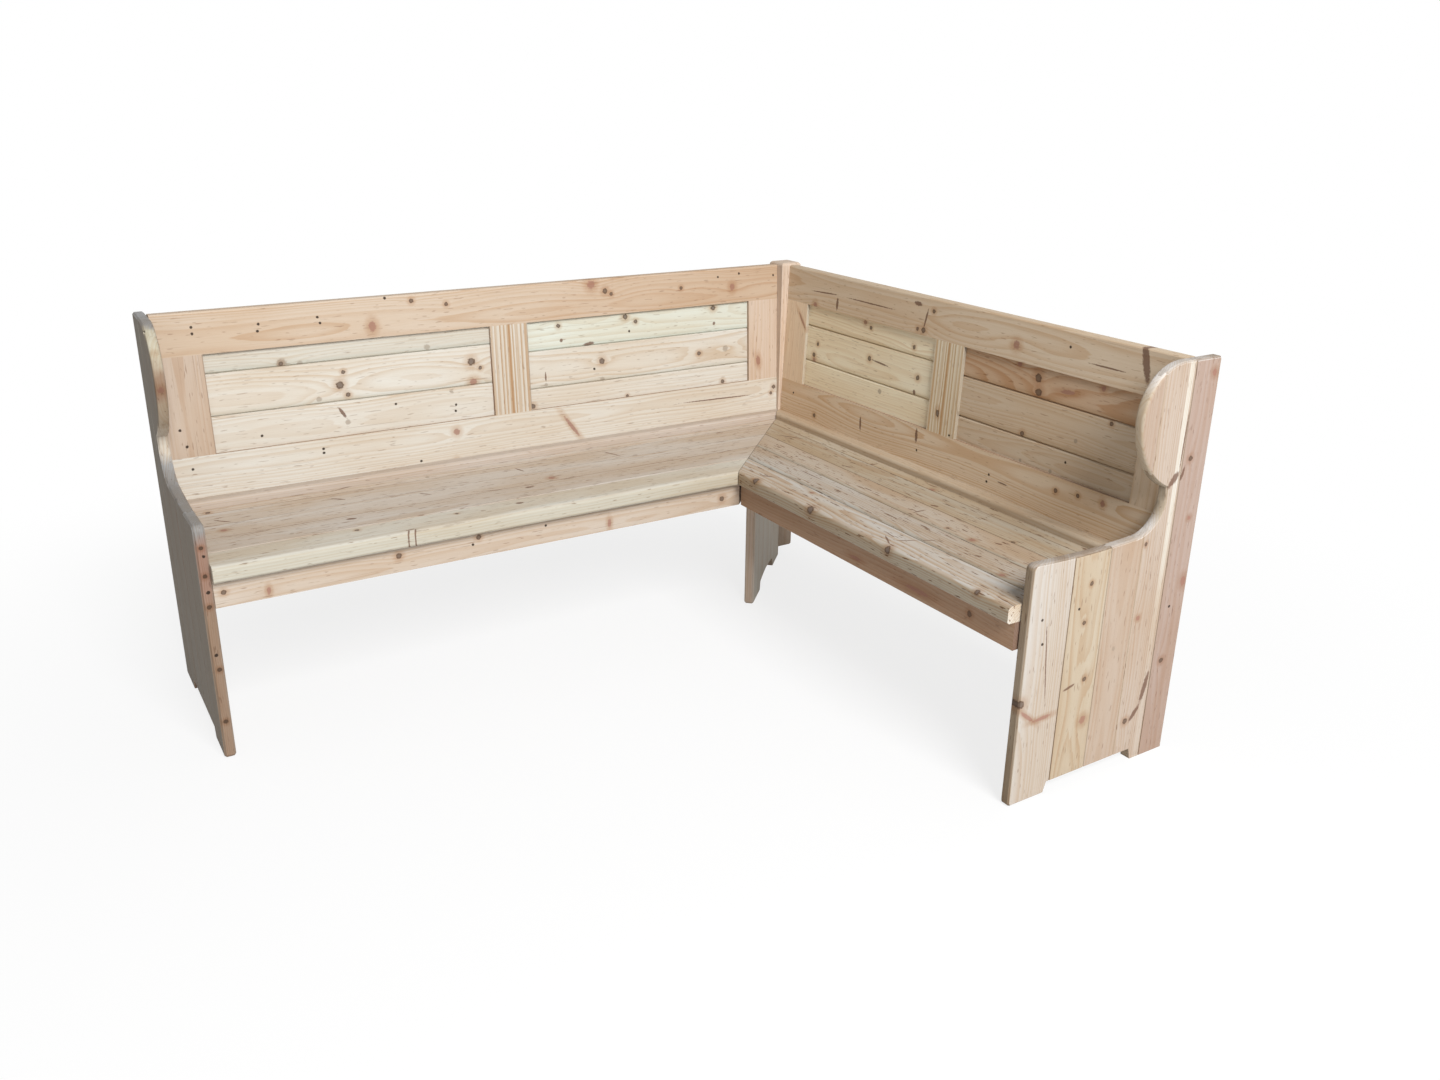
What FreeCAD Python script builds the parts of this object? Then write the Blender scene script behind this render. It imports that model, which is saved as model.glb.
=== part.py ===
import FreeCAD, Part
import math
import os

# A corner settle in solid pine, made as two benches that meet in a mitre.
# The long bench runs along X, the short one along Y, and a post stands in the corner between
# their backs.  Lengths are millimetres, +Z is up, and the origin lies on the floor in the
# middle of the rectangle that the bench fills.
#
# Each bench is drawn in its own frame first: u runs along the bench away from the corner,
# v runs forward from the back line (the rear top edge of the backrest), z is the height.
# The long bench is that drawing turned half a turn, the short one is its mirror image.

# Overall sizes
LONG_LENGTH = 1827.0          # along the wall, from the left end to the back of the right end
SHORT_LENGTH = 1500.0         # along the other wall, from the back of the left end
HEIGHT = 905.0                # top of the ends and of the backrest
SEAT_HEIGHT = 455.0

# End panels
END_THICK = 24.0
END_DEPTH = 480.0
END_BEHIND_LONG = 40.0        # how far an end stands out behind its own back line
END_BEHIND_SHORT = 53.0
EDGE_BEVEL = 4.0              # worn bevel along the sawn outline on both faces
EAR_CENTRE = 106.0            # depth of the centre of the head wing's top curve
EAR_RADIUS = 110.0
NECK_DEPTH = 113.0            # depth that is left at the neck below the wing
CUSP_HEIGHT = 640.0           # where the wing's underside meets the neck
ARM_HEIGHT = 543.0            # armrest where it leaves the neck curve
ARM_DIP = 4.0                 # sag in the middle of the armrest
ARM_RADIUS = 78.0             # hollow between the neck and the armrest
ARM_NOSE = 14.0               # rounding at the front of the armrest
TOP_CORNER = 6.0              # rounding of the rear top corner
REAR_FOOT = 107.0
FRONT_FOOT = 99.0
FOOT_RISE = 28.0              # height of the cut-out between the feet
FOOT_SLANT = 8.0              # how far the foot's inner edge leans
TOE_ROUND = 9.0               # rounding at the front of the foot
END_JOINTS = (78.0, 166.0, 260.0, 364.0)   # depths at which the end's planks meet

# Tongue and groove in the thick boards
TONGUE_THICK = 8.0
TONGUE_DEPTH = 9.0
VEE = 1.6                     # small bevel along each plank joint
FIT = 0.2                     # clearance where one piece slides into or butts against another

# Seat
SEAT_THICK = 38.0
SEAT_FRONT = 460.0            # front of the nosing, from the back line
NOSE_BOARD = 89.0
NOSE_TOP_ROUND = 11.0
NOSE_BOTTOM_ROUND = 8.0
FIELD_BOARD = 84.0
SEAT_VEE = 3.0                # groove behind the nosing board
SEAT_BOARD_VEE = 0.8          # slight bevels at the other joints
SEAT_REAR = 20.0              # rear edge of the seat
MITRE_GAP = 0.8

# Rails and bearers under the seat
APRON_HEIGHT = 62.0
APRON_THICK = 24.0
APRON_SETBACK = 22.0          # behind the front of the nosing
APRON_MITRE_GAP = 5.0
REAR_RAIL_HEIGHT = 62.0
REAR_RAIL_THICK = 24.0
CLEAT_HEIGHT = 45.0
CLEAT_THICK = 28.0
BEARER_THICK = 45.0

# Backrest
RAKE = 2.5                    # degrees that the backrest leans back
FRAME_THICK = 32.0
TOP_RAIL = 98.0
BOTTOM_RAIL = 117.0
STILE = 100.0
SHORT_END_STILE = 76.0        # the stile beside the right end is narrower
MUNTIN = 103.0
RAIL_ROUND = 5.0              # rounding of the top rail's upper edges
GROOVE_DEPTH = 10.0
TENON_LENGTH = 42.0
TENON_SHOULDER = 12.0
PANEL_THICK = 14.0
PANEL_BOARD = 101.0           # face width of a whole backrest board
PANEL_OPENING = 235.0         # opening between the rails that the board widths are laid out for
PANEL_TONGUE_THICK = 4.6
PANEL_TONGUE_DEPTH = 6.0
PANEL_VEE = 3.5
PANEL_SLACK = 0.8             # how far the boards stay short of the bottom of their grooves
FIRST_JOINT_LONG_END = 48.0   # from the top rail down to the first board joint, per panel
FIRST_JOINT_LONG_CORNER = 80.0
FIRST_JOINT_SHORT_CORNER = 60.0
FIRST_JOINT_SHORT_END = 73.0
FILLET_THICK = 32.0           # strip that covers the joint of seat and backrest
FILLET_HEIGHT = 20.0
FILLET_ROUND = 9.0

# Corner post and the panel under the mitre
POST = 65.0
POST_FRONT = 59.0             # the post's faces, forward of the two back lines
POST_PROUD = 8.0              # how far the post stands above the backrest
POST_LIFT = 22.0              # gap under the post
POST_ROUND = 9.0
LEG_THICK = 26.0
LEG_FRONT = 334.0             # u and v of the front edge of the corner panel
LEG_REAR_FOOT = 95.0
LEG_FRONT_FOOT = 100.0
LEG_ARCH = 10.0               # extra rise in the middle of its cut-out
LEG_PLANKS = 3

# Screws through the cleats
SCREW_SHANK = 4.5
SCREW_HEAD = 9.0
SCREW_HEAD_DEPTH = 3.0
SCREW_BITE = 16.0             # length in the panel behind the cleat
SCREW_INSET = 60.0
SCREW_HOLE = 0.2              # play round the shank
END_CLEAT_SCREWS = 2
CORNER_CLEAT_SCREWS = 2
SCREW_STAGGER = 30.0          # between the screws that enter the corner panel from its two sides

# Cutting blocks
OVER = 1.0                    # how far a cutting block runs past what it cuts
SLIVER = 0.01                 # for choosing edges by place, and for cuts that start at a face
SPARE = 100.0                 # reach of large trimming blocks past the bench
SILL_TRIM = 5.0               # extra foot of the bottom rail, sawn off level with the seat

# Derived places
SEAT_BOTTOM = SEAT_HEIGHT - SEAT_THICK
APRON_FRONT = SEAT_FRONT - APRON_SETBACK
APRON_REAR = APRON_FRONT - APRON_THICK
RAIL_REAR = SEAT_REAR
RAIL_FRONT = RAIL_REAR + REAR_RAIL_THICK
LONG_INNER = LONG_LENGTH - END_BEHIND_SHORT - END_THICK
SHORT_INNER = SHORT_LENGTH - END_BEHIND_LONG - END_THICK
CORNER_X = LONG_LENGTH / 2 - END_BEHIND_SHORT
CORNER_Y = SHORT_LENGTH / 2 - END_BEHIND_LONG
RAKE_RAD = math.radians(RAKE)
PANEL_GROOVE = PANEL_THICK + 2 * FIT
SQRT2 = math.sqrt(2.0)


def vec(x, y, z):
    return FreeCAD.Vector(x, y, z)


def box(x0, x1, y0, y1, z0, z1):
    """Plain block between two corners."""
    return Part.makeBox(x1 - x0, y1 - y0, z1 - z0, vec(x0, y0, z0))


def place_long(shape):
    """Carry a drawing of the long bench to its place along X."""
    moved = shape.copy()
    moved.rotate(vec(0, 0, 0), vec(0, 0, 1), 180)
    moved.translate(vec(CORNER_X, CORNER_Y, 0))
    return moved


def place_short(shape):
    """Carry a drawing of the short bench to its place along Y, mirrored in the mitre."""
    turned = shape.copy()
    turned.rotate(vec(0, 0, 0), vec(0, 0, 1), 180)
    moved = turned.mirror(vec(0, 0, 0), vec(1, -1, 0))
    moved.translate(vec(CORNER_X, CORNER_Y, 0))
    return moved


def face_of(edges):
    return Part.Face(Part.Wire(edges))


def line(a, b):
    return Part.LineSegment(a, b).toShape()


def arc(a, middle, b):
    return Part.Arc(a, middle, b).toShape()


def arc_point(centre, radius, degrees):
    """Point of a circle in the plane of an end panel, where x holds the depth."""
    angle = math.radians(degrees)
    return vec(centre[0] + radius * math.cos(angle), 0, centre[1] + radius * math.sin(angle))


def end_outline():
    """Outline of an end panel: depth from the wall in x, height in z.

    The head wing is a quarter circle that runs on into a larger circle, tangent at the widest
    point, down to the cusp.  The radius of the larger circle follows from those two points.
    """
    wing_top = vec(EAR_CENTRE, 0, HEIGHT)
    wing_side = vec(EAR_CENTRE + EAR_RADIUS, 0, HEIGHT - EAR_RADIUS)
    cusp = vec(NECK_DEPTH, 0, CUSP_HEIGHT)
    reach = wing_side.x - cusp.x
    drop = wing_side.z - cusp.z
    under_radius = (reach * reach + drop * drop) / (2 * reach)
    under_centre = (wing_side.x - under_radius, wing_side.z)
    under_angle = -math.degrees(math.atan2(drop, cusp.x - under_centre[0]))
    neck_low = vec(NECK_DEPTH, 0, ARM_HEIGHT + ARM_RADIUS)
    arm_rear = vec(NECK_DEPTH + ARM_RADIUS, 0, ARM_HEIGHT)
    hollow_centre = (arm_rear.x, neck_low.z)
    arm_front = vec(END_DEPTH - ARM_NOSE, 0, ARM_HEIGHT)
    arm_middle = vec((arm_rear.x + arm_front.x) / 2, 0, ARM_HEIGHT - ARM_DIP)
    nose_low = vec(END_DEPTH, 0, ARM_HEIGHT - ARM_NOSE)
    nose_centre = (arm_front.x, nose_low.z)
    toe_high = vec(END_DEPTH, 0, TOE_ROUND)
    toe_low = vec(END_DEPTH - TOE_ROUND, 0, 0)
    toe_centre = (toe_low.x, toe_high.z)
    front_in = END_DEPTH - FRONT_FOOT
    corner_low = vec(0, 0, HEIGHT - TOP_CORNER)
    corner_top = vec(TOP_CORNER, 0, HEIGHT)
    corner_centre = (corner_top.x, corner_low.z)
    heel = vec(0, 0, 0)
    rear_in = vec(REAR_FOOT, 0, 0)
    rear_step = vec(REAR_FOOT + FOOT_SLANT, 0, FOOT_RISE)
    front_step = vec(front_in - FOOT_SLANT, 0, FOOT_RISE)
    front_low = vec(front_in, 0, 0)
    return [
        line(heel, corner_low),
        arc(corner_low, arc_point(corner_centre, TOP_CORNER, 135), corner_top),
        line(corner_top, wing_top),
        arc(wing_top, arc_point((wing_top.x, wing_side.z), EAR_RADIUS, 45), wing_side),
        arc(wing_side, arc_point(under_centre, under_radius, under_angle / 2), cusp),
        line(cusp, neck_low),
        arc(neck_low, arc_point(hollow_centre, ARM_RADIUS, 225), arm_rear),
        arc(arm_rear, arm_middle, arm_front),
        arc(arm_front, arc_point(nose_centre, ARM_NOSE, 45), nose_low),
        line(nose_low, toe_high),
        arc(toe_high, arc_point(toe_centre, TOE_ROUND, -45), toe_low),
        line(toe_low, front_low),
        line(front_low, front_step),
        line(front_step, rear_step),
        line(rear_step, rear_in),
        line(rear_in, heel),
    ]


def leg_outline(depth, height):
    """Outline of the corner panel: depth from its rear edge in x, height in z."""
    toe_high = vec(depth, 0, TOE_ROUND)
    toe_low = vec(depth - TOE_ROUND, 0, 0)
    toe_middle = arc_point((toe_low.x, toe_high.z), TOE_ROUND, -45)
    front_low = vec(depth - LEG_FRONT_FOOT, 0, 0)
    front_step = vec(front_low.x - FOOT_SLANT, 0, FOOT_RISE)
    rear_low = vec(LEG_REAR_FOOT, 0, 0)
    rear_step = vec(rear_low.x + FOOT_SLANT, 0, FOOT_RISE)
    crown = vec((front_step.x + rear_step.x) / 2, 0, FOOT_RISE + LEG_ARCH)
    return [
        line(vec(0, 0, 0), vec(0, 0, height)),
        line(vec(0, 0, height), vec(depth, 0, height)),
        line(vec(depth, 0, height), toe_high),
        arc(toe_high, toe_middle, toe_low),
        line(toe_low, front_low),
        line(front_low, front_step),
        arc(front_step, crown, rear_step),
        line(rear_step, rear_low),
        line(rear_low, vec(0, 0, 0)),
    ]


def bevel_outline(panel, thick, size, keep):
    """Bevel the sawn edge of a flat panel on both faces, where keep(midpoint) says so."""
    edges = []
    for edge in panel.Edges:
        middle = edge.valueAt((edge.FirstParameter + edge.LastParameter) / 2)
        on_face = min(abs(middle.y), abs(middle.y - thick)) < SLIVER
        if on_face and keep(middle):
            edges.append(edge)
    return panel.makeChamfer(size, edges)


def vee_cut(x, thick, depth, z0, z1):
    """Pair of small wedges that bevel both faces of a panel along a joint at x."""
    near = [vec(x - depth, 0, z0), vec(x + depth, 0, z0), vec(x, depth, z0)]
    far = [vec(p.x, thick - p.y, z0) for p in near]
    wedges = []
    for points in (near, far):
        wire = Part.makePolygon(points + [points[0]])
        wedges.append(Part.Face(wire).extrude(vec(0, 0, z1 - z0)))
    return wedges


def split_planks(panel, thick, joints, tongue, deep, vee):
    """Saw a panel, with its depth in x and thickness in y, into tongued and grooved planks.

    Every plank has its tongue on the front edge and its groove at the rear, and the joints
    are bevelled on both faces.
    """
    bounds = panel.BoundBox
    low = bounds.ZMin - OVER
    high = bounds.ZMax + OVER
    edges = [bounds.XMin - OVER] + list(joints) + [bounds.XMax + OVER]
    middle = thick / 2
    half = tongue / 2
    wide = half + FIT
    for x in joints:
        for wedge in vee_cut(x, thick, vee, low, high):
            panel = panel.cut(wedge)
    planks = []
    for number in range(len(edges) - 1):
        rear = edges[number]
        front = edges[number + 1]
        region = box(rear, front, 0, thick, low, high)
        if number < len(joints):
            tip = front + deep - FIT
            region = region.fuse(box(front, tip, middle - half, middle + half, low, high))
        if number > 0:
            end = rear + deep
            region = region.cut(box(rear - OVER, end, middle - wide, middle + wide, low, high))
        planks.append(panel.common(region))
    return planks


def solids_by_height(shape):
    return sorted(shape.Solids, key=lambda solid: solid.BoundBox.ZMin)


def build_end():
    """Planks of one end panel, rear plank first, then the piece of the wing in front of them."""
    panel = face_of(end_outline()).extrude(vec(0, END_THICK, 0))
    wing = lambda p: p.z > ARM_HEIGHT - ARM_NOSE - OVER and p.x > TOP_CORNER
    front = lambda p: p.x > END_DEPTH - OVER
    panel = bevel_outline(panel, END_THICK, EDGE_BEVEL, lambda p: wing(p) or front(p))
    pieces = split_planks(panel, END_THICK, END_JOINTS, TONGUE_THICK, TONGUE_DEPTH, VEE)
    planks = []
    wing_tip = None
    for piece in pieces:
        parts = solids_by_height(piece)
        planks.append(parts[0])
        if len(parts) > 1:
            wing_tip = parts[-1]
    return planks, wing_tip


def stand_end(shape, inner, behind):
    """Turn a flat end (depth in x, thickness in y) across the bench at its inner face."""
    stood = shape.mirror(vec(0, 0, 0), vec(1, -1, 0))
    stood.translate(vec(inner, -behind, 0))
    return stood


def mitre_keep(length, gap):
    """Block on the long side of the mitre plane u = v, set back from it by gap."""
    shift = gap * SQRT2
    reach = SEAT_FRONT + SPARE
    points = [
        vec(shift - SPARE, -SPARE, 0),
        vec(length + SPARE, -SPARE, 0),
        vec(length + SPARE, reach, 0),
        vec(reach + shift, reach, 0),
    ]
    wire = Part.makePolygon(points + [points[0]])
    return Part.Face(wire).extrude(vec(0, 0, HEIGHT))


def post_room():
    """Space that the corner post takes, with its clearance."""
    face = POST_FRONT + FIT
    return box(face - POST - SPARE, face, face - POST - SPARE, face, -OVER, HEIGHT + SPARE)


def prism(points, length):
    """Extrude a profile drawn in the (v, z) plane along u from 0 to length."""
    wire = Part.makePolygon(points + [points[0]])
    return Part.Face(wire).extrude(vec(length, 0, 0))


def nose_profile(length):
    """The seat's section as one slab with a rounded nosing."""
    slab = box(0, length, SEAT_REAR, SEAT_FRONT, SEAT_BOTTOM, SEAT_HEIGHT)
    top = []
    for edge in slab.Edges:
        middle = edge.valueAt((edge.FirstParameter + edge.LastParameter) / 2)
        if abs(middle.y - SEAT_FRONT) < SLIVER and abs(middle.x - length / 2) < SLIVER:
            if middle.z > SEAT_HEIGHT - OVER:
                top.append(edge)
    slab = slab.makeFillet(NOSE_TOP_ROUND, top)
    bottom = []
    for edge in slab.Edges:
        bounds = edge.BoundBox
        if bounds.ZMax < SEAT_BOTTOM + SLIVER and bounds.YMin > SEAT_FRONT - OVER:
            bottom.append(edge)
    return slab.makeFillet(NOSE_BOTTOM_ROUND, bottom)


def seat_joints():
    """Depths of the seat's board joints, from the nosing board back."""
    joints = []
    place = SEAT_FRONT - NOSE_BOARD
    while place > SEAT_REAR + FIELD_BOARD / 2:
        joints.append(place)
        place -= FIELD_BOARD
    return joints


def seat_groove(v, depth, length):
    """Small vee groove along the seat's top face."""
    over = SEAT_HEIGHT + SLIVER
    points = [vec(0, v - depth, over), vec(0, v + depth, over), vec(0, v, SEAT_HEIGHT - depth)]
    return prism(points, length)


def build_seat(inner):
    """Seat boards of one bench, nosing board first.

    Every board has its tongue on the front edge and its groove at the rear.
    """
    length = inner - FIT
    slab = nose_profile(length).common(mitre_keep(length, MITRE_GAP)).cut(post_room())
    joints = seat_joints()
    middle = SEAT_BOTTOM + SEAT_THICK / 2
    half = TONGUE_THICK / 2
    wide = half + FIT
    for number, v in enumerate(joints):
        depth = SEAT_VEE if number == 0 else SEAT_BOARD_VEE
        slab = slab.cut(seat_groove(v, depth, length))
    edges = [SEAT_FRONT + OVER] + joints + [SEAT_REAR - OVER]
    boards = []
    for number in range(len(edges) - 1):
        front = edges[number]
        rear = edges[number + 1]
        region = box(0, length, rear, front, SEAT_BOTTOM, SEAT_HEIGHT)
        if number > 0:
            tongue_front = front + TONGUE_DEPTH - FIT
            tongue = box(0, length, front, tongue_front, middle - half, middle + half)
            region = region.fuse(tongue)
        if number < len(joints):
            groove_front = rear + TONGUE_DEPTH
            groove = box(0, length, rear - OVER, groove_front, middle - wide, middle + wide)
            region = region.cut(groove)
        boards.append(slab.common(region))
    return boards


def build_apron(inner):
    block = box(0, inner - FIT, APRON_REAR, APRON_FRONT, SEAT_BOTTOM - APRON_HEIGHT, SEAT_BOTTOM)
    return block.common(mitre_keep(inner, APRON_MITRE_GAP / 2))


def build_rear_rail(inner):
    start = POST_FRONT + FIT
    return box(start, inner - FIT, RAIL_REAR, RAIL_FRONT, SEAT_BOTTOM - REAR_RAIL_HEIGHT, SEAT_BOTTOM)


def screw_places(count, start, end):
    """Evenly spread places, the first and the last set in from the ends."""
    span = end - start - 2 * SCREW_INSET
    return [start + SCREW_INSET + span * i / (count - 1) for i in range(count)]


def screw(at, direction, through):
    """Countersunk screw, its head flush with the cleat's face at the given point."""
    shank = Part.makeCylinder(SCREW_SHANK / 2, through + SCREW_BITE, at, direction)
    head = Part.makeCone(SCREW_HEAD / 2, SCREW_SHANK / 2, SCREW_HEAD_DEPTH, at, direction)
    return shank.fuse(head)


def screw_hole(at, direction, through):
    """Hole for that screw, with play all round and beyond its point."""
    start = at - direction * OVER
    wide = SCREW_HEAD / 2 + SCREW_HOLE
    slim = SCREW_SHANK / 2 + SCREW_HOLE
    shank = Part.makeCylinder(slim, through + SCREW_BITE + 2 * OVER, start, direction)
    head = Part.makeCone(wide, slim, SCREW_HEAD_DEPTH, at, direction)
    mouth = Part.makeCylinder(wide, OVER, start, direction)
    return shank.fuse(head).fuse(mouth)


def build_end_cleat(inner):
    """Cleat on the inner face of an end, between the two rails, and its screws and holes."""
    start = inner - CLEAT_THICK
    rear = RAIL_FRONT + FIT
    front = APRON_REAR - FIT
    cleat = box(start, inner, rear, front, SEAT_BOTTOM - CLEAT_HEIGHT, SEAT_BOTTOM)
    level = SEAT_BOTTOM - CLEAT_HEIGHT / 2
    screws = []
    holes = []
    for v in screw_places(END_CLEAT_SCREWS, rear, front):
        at = vec(start, v, level)
        screws.append(screw(at, vec(1, 0, 0), CLEAT_THICK))
        holes.append(screw_hole(at, vec(1, 0, 0), CLEAT_THICK))
    for hole in holes:
        cleat = cleat.cut(hole)
    return cleat, screws, holes


def build_bearer(centre):
    """Cross bearer under the seat boards, between the two rails."""
    half = BEARER_THICK / 2
    rear = RAIL_FRONT + FIT
    front = APRON_REAR - FIT
    return box(centre - half, centre + half, rear, front, SEAT_BOTTOM - CLEAT_HEIGHT, SEAT_BOTTOM)


def muntin_centre(inner, end_stile):
    """Middle of the backrest's muntin: both panels are equally wide."""
    return (POST_FRONT + STILE + inner - end_stile) / 2


def frame_block(u0, u1, z0, z1):
    return box(u0, u1, 0, FRAME_THICK, z0, z1)


def in_groove(u0, u1, z0, z1, thick):
    """Block centred in the frame's thickness, for grooves, tenons and mortises."""
    middle = FRAME_THICK / 2
    return box(u0, u1, middle - thick / 2, middle + thick / 2, z0, z1)


def lean(shape):
    """Tip an upright backrest piece to its rake, then trim it level with the seat."""
    leaned = shape.copy()
    leaned.rotate(vec(0, 0, HEIGHT), vec(1, 0, 0), RAKE)
    bounds = leaned.BoundBox
    below = box(
        bounds.XMin - OVER, bounds.XMax + OVER,
        bounds.YMin - OVER, bounds.YMax + OVER,
        0, SEAT_HEIGHT + FIT)
    return leaned.cut(below)


def build_frame(inner, end_stile):
    """Rails, stiles and muntin of one backrest, still upright."""
    start = POST_FRONT + FIT
    end = inner - FIT
    rail_low = HEIGHT - TOP_RAIL
    sill_top = SEAT_HEIGHT + BOTTOM_RAIL
    sill_low = SEAT_HEIGHT - SILL_TRIM
    centre = muntin_centre(inner, end_stile)
    uprights = {
        "corner_stile": (start, POST_FRONT + STILE),
        "muntin": (centre - MUNTIN / 2, centre + MUNTIN / 2),
        "end_stile": (inner - end_stile, end),
    }
    top = frame_block(start, end, rail_low, HEIGHT)
    round_edges = []
    for edge in top.Edges:
        if abs(edge.BoundBox.ZMin - HEIGHT) < SLIVER and edge.BoundBox.XLength > OVER:
            round_edges.append(edge)
    top = top.makeFillet(RAIL_ROUND, round_edges)
    bottom = frame_block(start, end, sill_low, sill_top)
    groove_low = sill_top - GROOVE_DEPTH
    groove_high = rail_low + GROOVE_DEPTH
    groove = in_groove(start - OVER, end + OVER, groove_low, groove_high, PANEL_GROOVE)
    top = top.cut(groove)
    bottom = bottom.cut(groove)
    pieces = {}
    for name, (u0, u1) in uprights.items():
        body = frame_block(u0, u1, sill_top, rail_low)
        tongue = in_groove(u0, u1, groove_low + FIT, groove_high - FIT, PANEL_THICK)
        tenon = in_groove(
            u0 + TENON_SHOULDER, u1 - TENON_SHOULDER,
            sill_top - TENON_LENGTH, rail_low + TENON_LENGTH, PANEL_THICK)
        mortise = in_groove(
            u0 + TENON_SHOULDER - FIT, u1 - TENON_SHOULDER + FIT,
            sill_top - TENON_LENGTH - FIT, rail_low + TENON_LENGTH + FIT, PANEL_GROOVE)
        body = body.fuse(tongue).fuse(tenon).removeSplitter()
        if name != "corner_stile":
            side = in_groove(u0 - OVER, u0 + GROOVE_DEPTH, 0, HEIGHT, PANEL_GROOVE)
            body = body.cut(side)
        if name != "end_stile":
            side = in_groove(u1 - GROOVE_DEPTH, u1 + OVER, 0, HEIGHT, PANEL_GROOVE)
            body = body.cut(side)
        pieces[name] = body
        top = top.cut(mortise)
        bottom = bottom.cut(mortise)
    pieces["top_rail"] = top
    pieces["bottom_rail"] = bottom
    bays = [
        (uprights["corner_stile"][1], uprights["muntin"][0]),
        (uprights["muntin"][1], uprights["end_stile"][0]),
    ]
    return pieces, bays, (sill_top, rail_low)


def board_groove(u0, u1, z, front):
    """Vee groove along the front face of a backrest panel."""
    over = front + SLIVER
    points = [
        vec(u0, over, z - PANEL_VEE),
        vec(u0, over, z + PANEL_VEE),
        vec(u0, front - PANEL_VEE, z),
    ]
    return prism(points, u1 - u0)


def build_boards(bay, heights, first_joint):
    """Horizontal boards of one backrest panel, top board first, still upright.

    Three boards share the opening, so their widths grow and shrink with it.  The tongues lie
    a little behind the middle of the board, to leave wood under the vee.
    """
    slack = GROOVE_DEPTH - PANEL_SLACK
    u0 = bay[0] - slack
    u1 = bay[1] + slack
    low = heights[0] - slack
    high = heights[1] + slack
    middle = FRAME_THICK / 2
    front = middle + PANEL_THICK / 2
    slab = in_groove(u0, u1, low, high, PANEL_THICK)
    share = (heights[1] - heights[0]) / PANEL_OPENING
    first = heights[1] - first_joint * share
    joints = [first, first - PANEL_BOARD * share]
    for joint in joints:
        slab = slab.cut(board_groove(u0, u1, joint, front))
    edges = [high] + joints + [low]
    half = PANEL_TONGUE_THICK / 2
    wide = half + FIT
    centre = middle - half / 2
    boards = []
    for number in range(len(edges) - 1):
        top = edges[number]
        bottom = edges[number + 1]
        region = box(u0, u1, 0, FRAME_THICK, bottom, top)
        if number > 0:
            tongue_top = top + PANEL_TONGUE_DEPTH - FIT
            tongue = box(u0, u1, centre - half, centre + half, top, tongue_top)
            region = region.fuse(tongue)
        if number < len(joints):
            groove_top = bottom + PANEL_TONGUE_DEPTH
            groove = box(u0, u1, centre - wide, centre + wide, bottom - OVER, groove_top)
            region = region.cut(groove)
        boards.append(slab.common(region))
    return boards


def build_fillet(inner):
    """Strip in the angle of seat and backrest, its rear face cut to the rake."""
    foot = FRAME_THICK / math.cos(RAKE_RAD) + (HEIGHT - SEAT_HEIGHT) * math.tan(RAKE_RAD)
    rise = FILLET_HEIGHT * math.tan(RAKE_RAD)
    front = foot + FILLET_THICK
    top = SEAT_HEIGHT + FILLET_HEIGHT
    rear_low = vec(0, foot + FIT, SEAT_HEIGHT + FIT)
    rear_high = vec(0, foot - rise + FIT, top)
    round_rear = vec(0, front - FILLET_ROUND, top)
    round_front = vec(0, front, top - FILLET_ROUND)
    turn = FILLET_ROUND * math.sqrt(0.5)
    round_middle = vec(0, round_rear.y + turn, round_front.z + turn)
    front_low = vec(0, front, SEAT_HEIGHT + FIT)
    section = face_of([
        line(rear_low, rear_high),
        line(rear_high, round_rear),
        arc(round_rear, round_middle, round_front),
        line(round_front, front_low),
        line(front_low, rear_low),
    ])
    strip = section.extrude(vec(inner - FIT, 0, 0))
    return strip.common(mitre_keep(inner, MITRE_GAP)).cut(post_room())


def build_post():
    """Square corner post with rounded top and bottom edges, drawn in the benches' frame."""
    rear = POST_FRONT - POST
    post = box(rear, POST_FRONT, rear, POST_FRONT, POST_LIFT, HEIGHT + POST_PROUD)
    ends = []
    for edge in post.Edges:
        if edge.BoundBox.ZLength < SLIVER:
            ends.append(edge)
    return post.makeFillet(POST_ROUND, ends)


def along_mitre(shape):
    """Turn a drawing (depth in x, thickness in y about zero) onto the mitre's diagonal."""
    turned = shape.copy()
    turned.rotate(vec(0, 0, 0), vec(0, 0, 1), 45)
    return turned


def build_corner_leg():
    """Planks of the panel under the mitre.

    Its rear edge is notched to clasp the post's corner, and its lips end at the rear rails.
    """
    half = LEG_THICK / 2
    rear = (RAIL_FRONT + FIT) * SQRT2 + half
    depth = LEG_FRONT * SQRT2 - rear
    panel = face_of(leg_outline(depth, SEAT_BOTTOM)).extrude(vec(0, LEG_THICK, 0))
    front = lambda p: p.x > depth - TOE_ROUND and p.z < SEAT_BOTTOM - OVER
    panel = bevel_outline(panel, LEG_THICK, EDGE_BEVEL, front)
    joints = [depth * i / LEG_PLANKS for i in range(1, LEG_PLANKS)]
    planks = split_planks(panel, LEG_THICK, joints, TONGUE_THICK, TONGUE_DEPTH, VEE)
    placed = []
    for plank in planks:
        plank.translate(vec(rear, -half, 0))
        placed.append(along_mitre(plank).cut(post_room()))
    return placed


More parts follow.
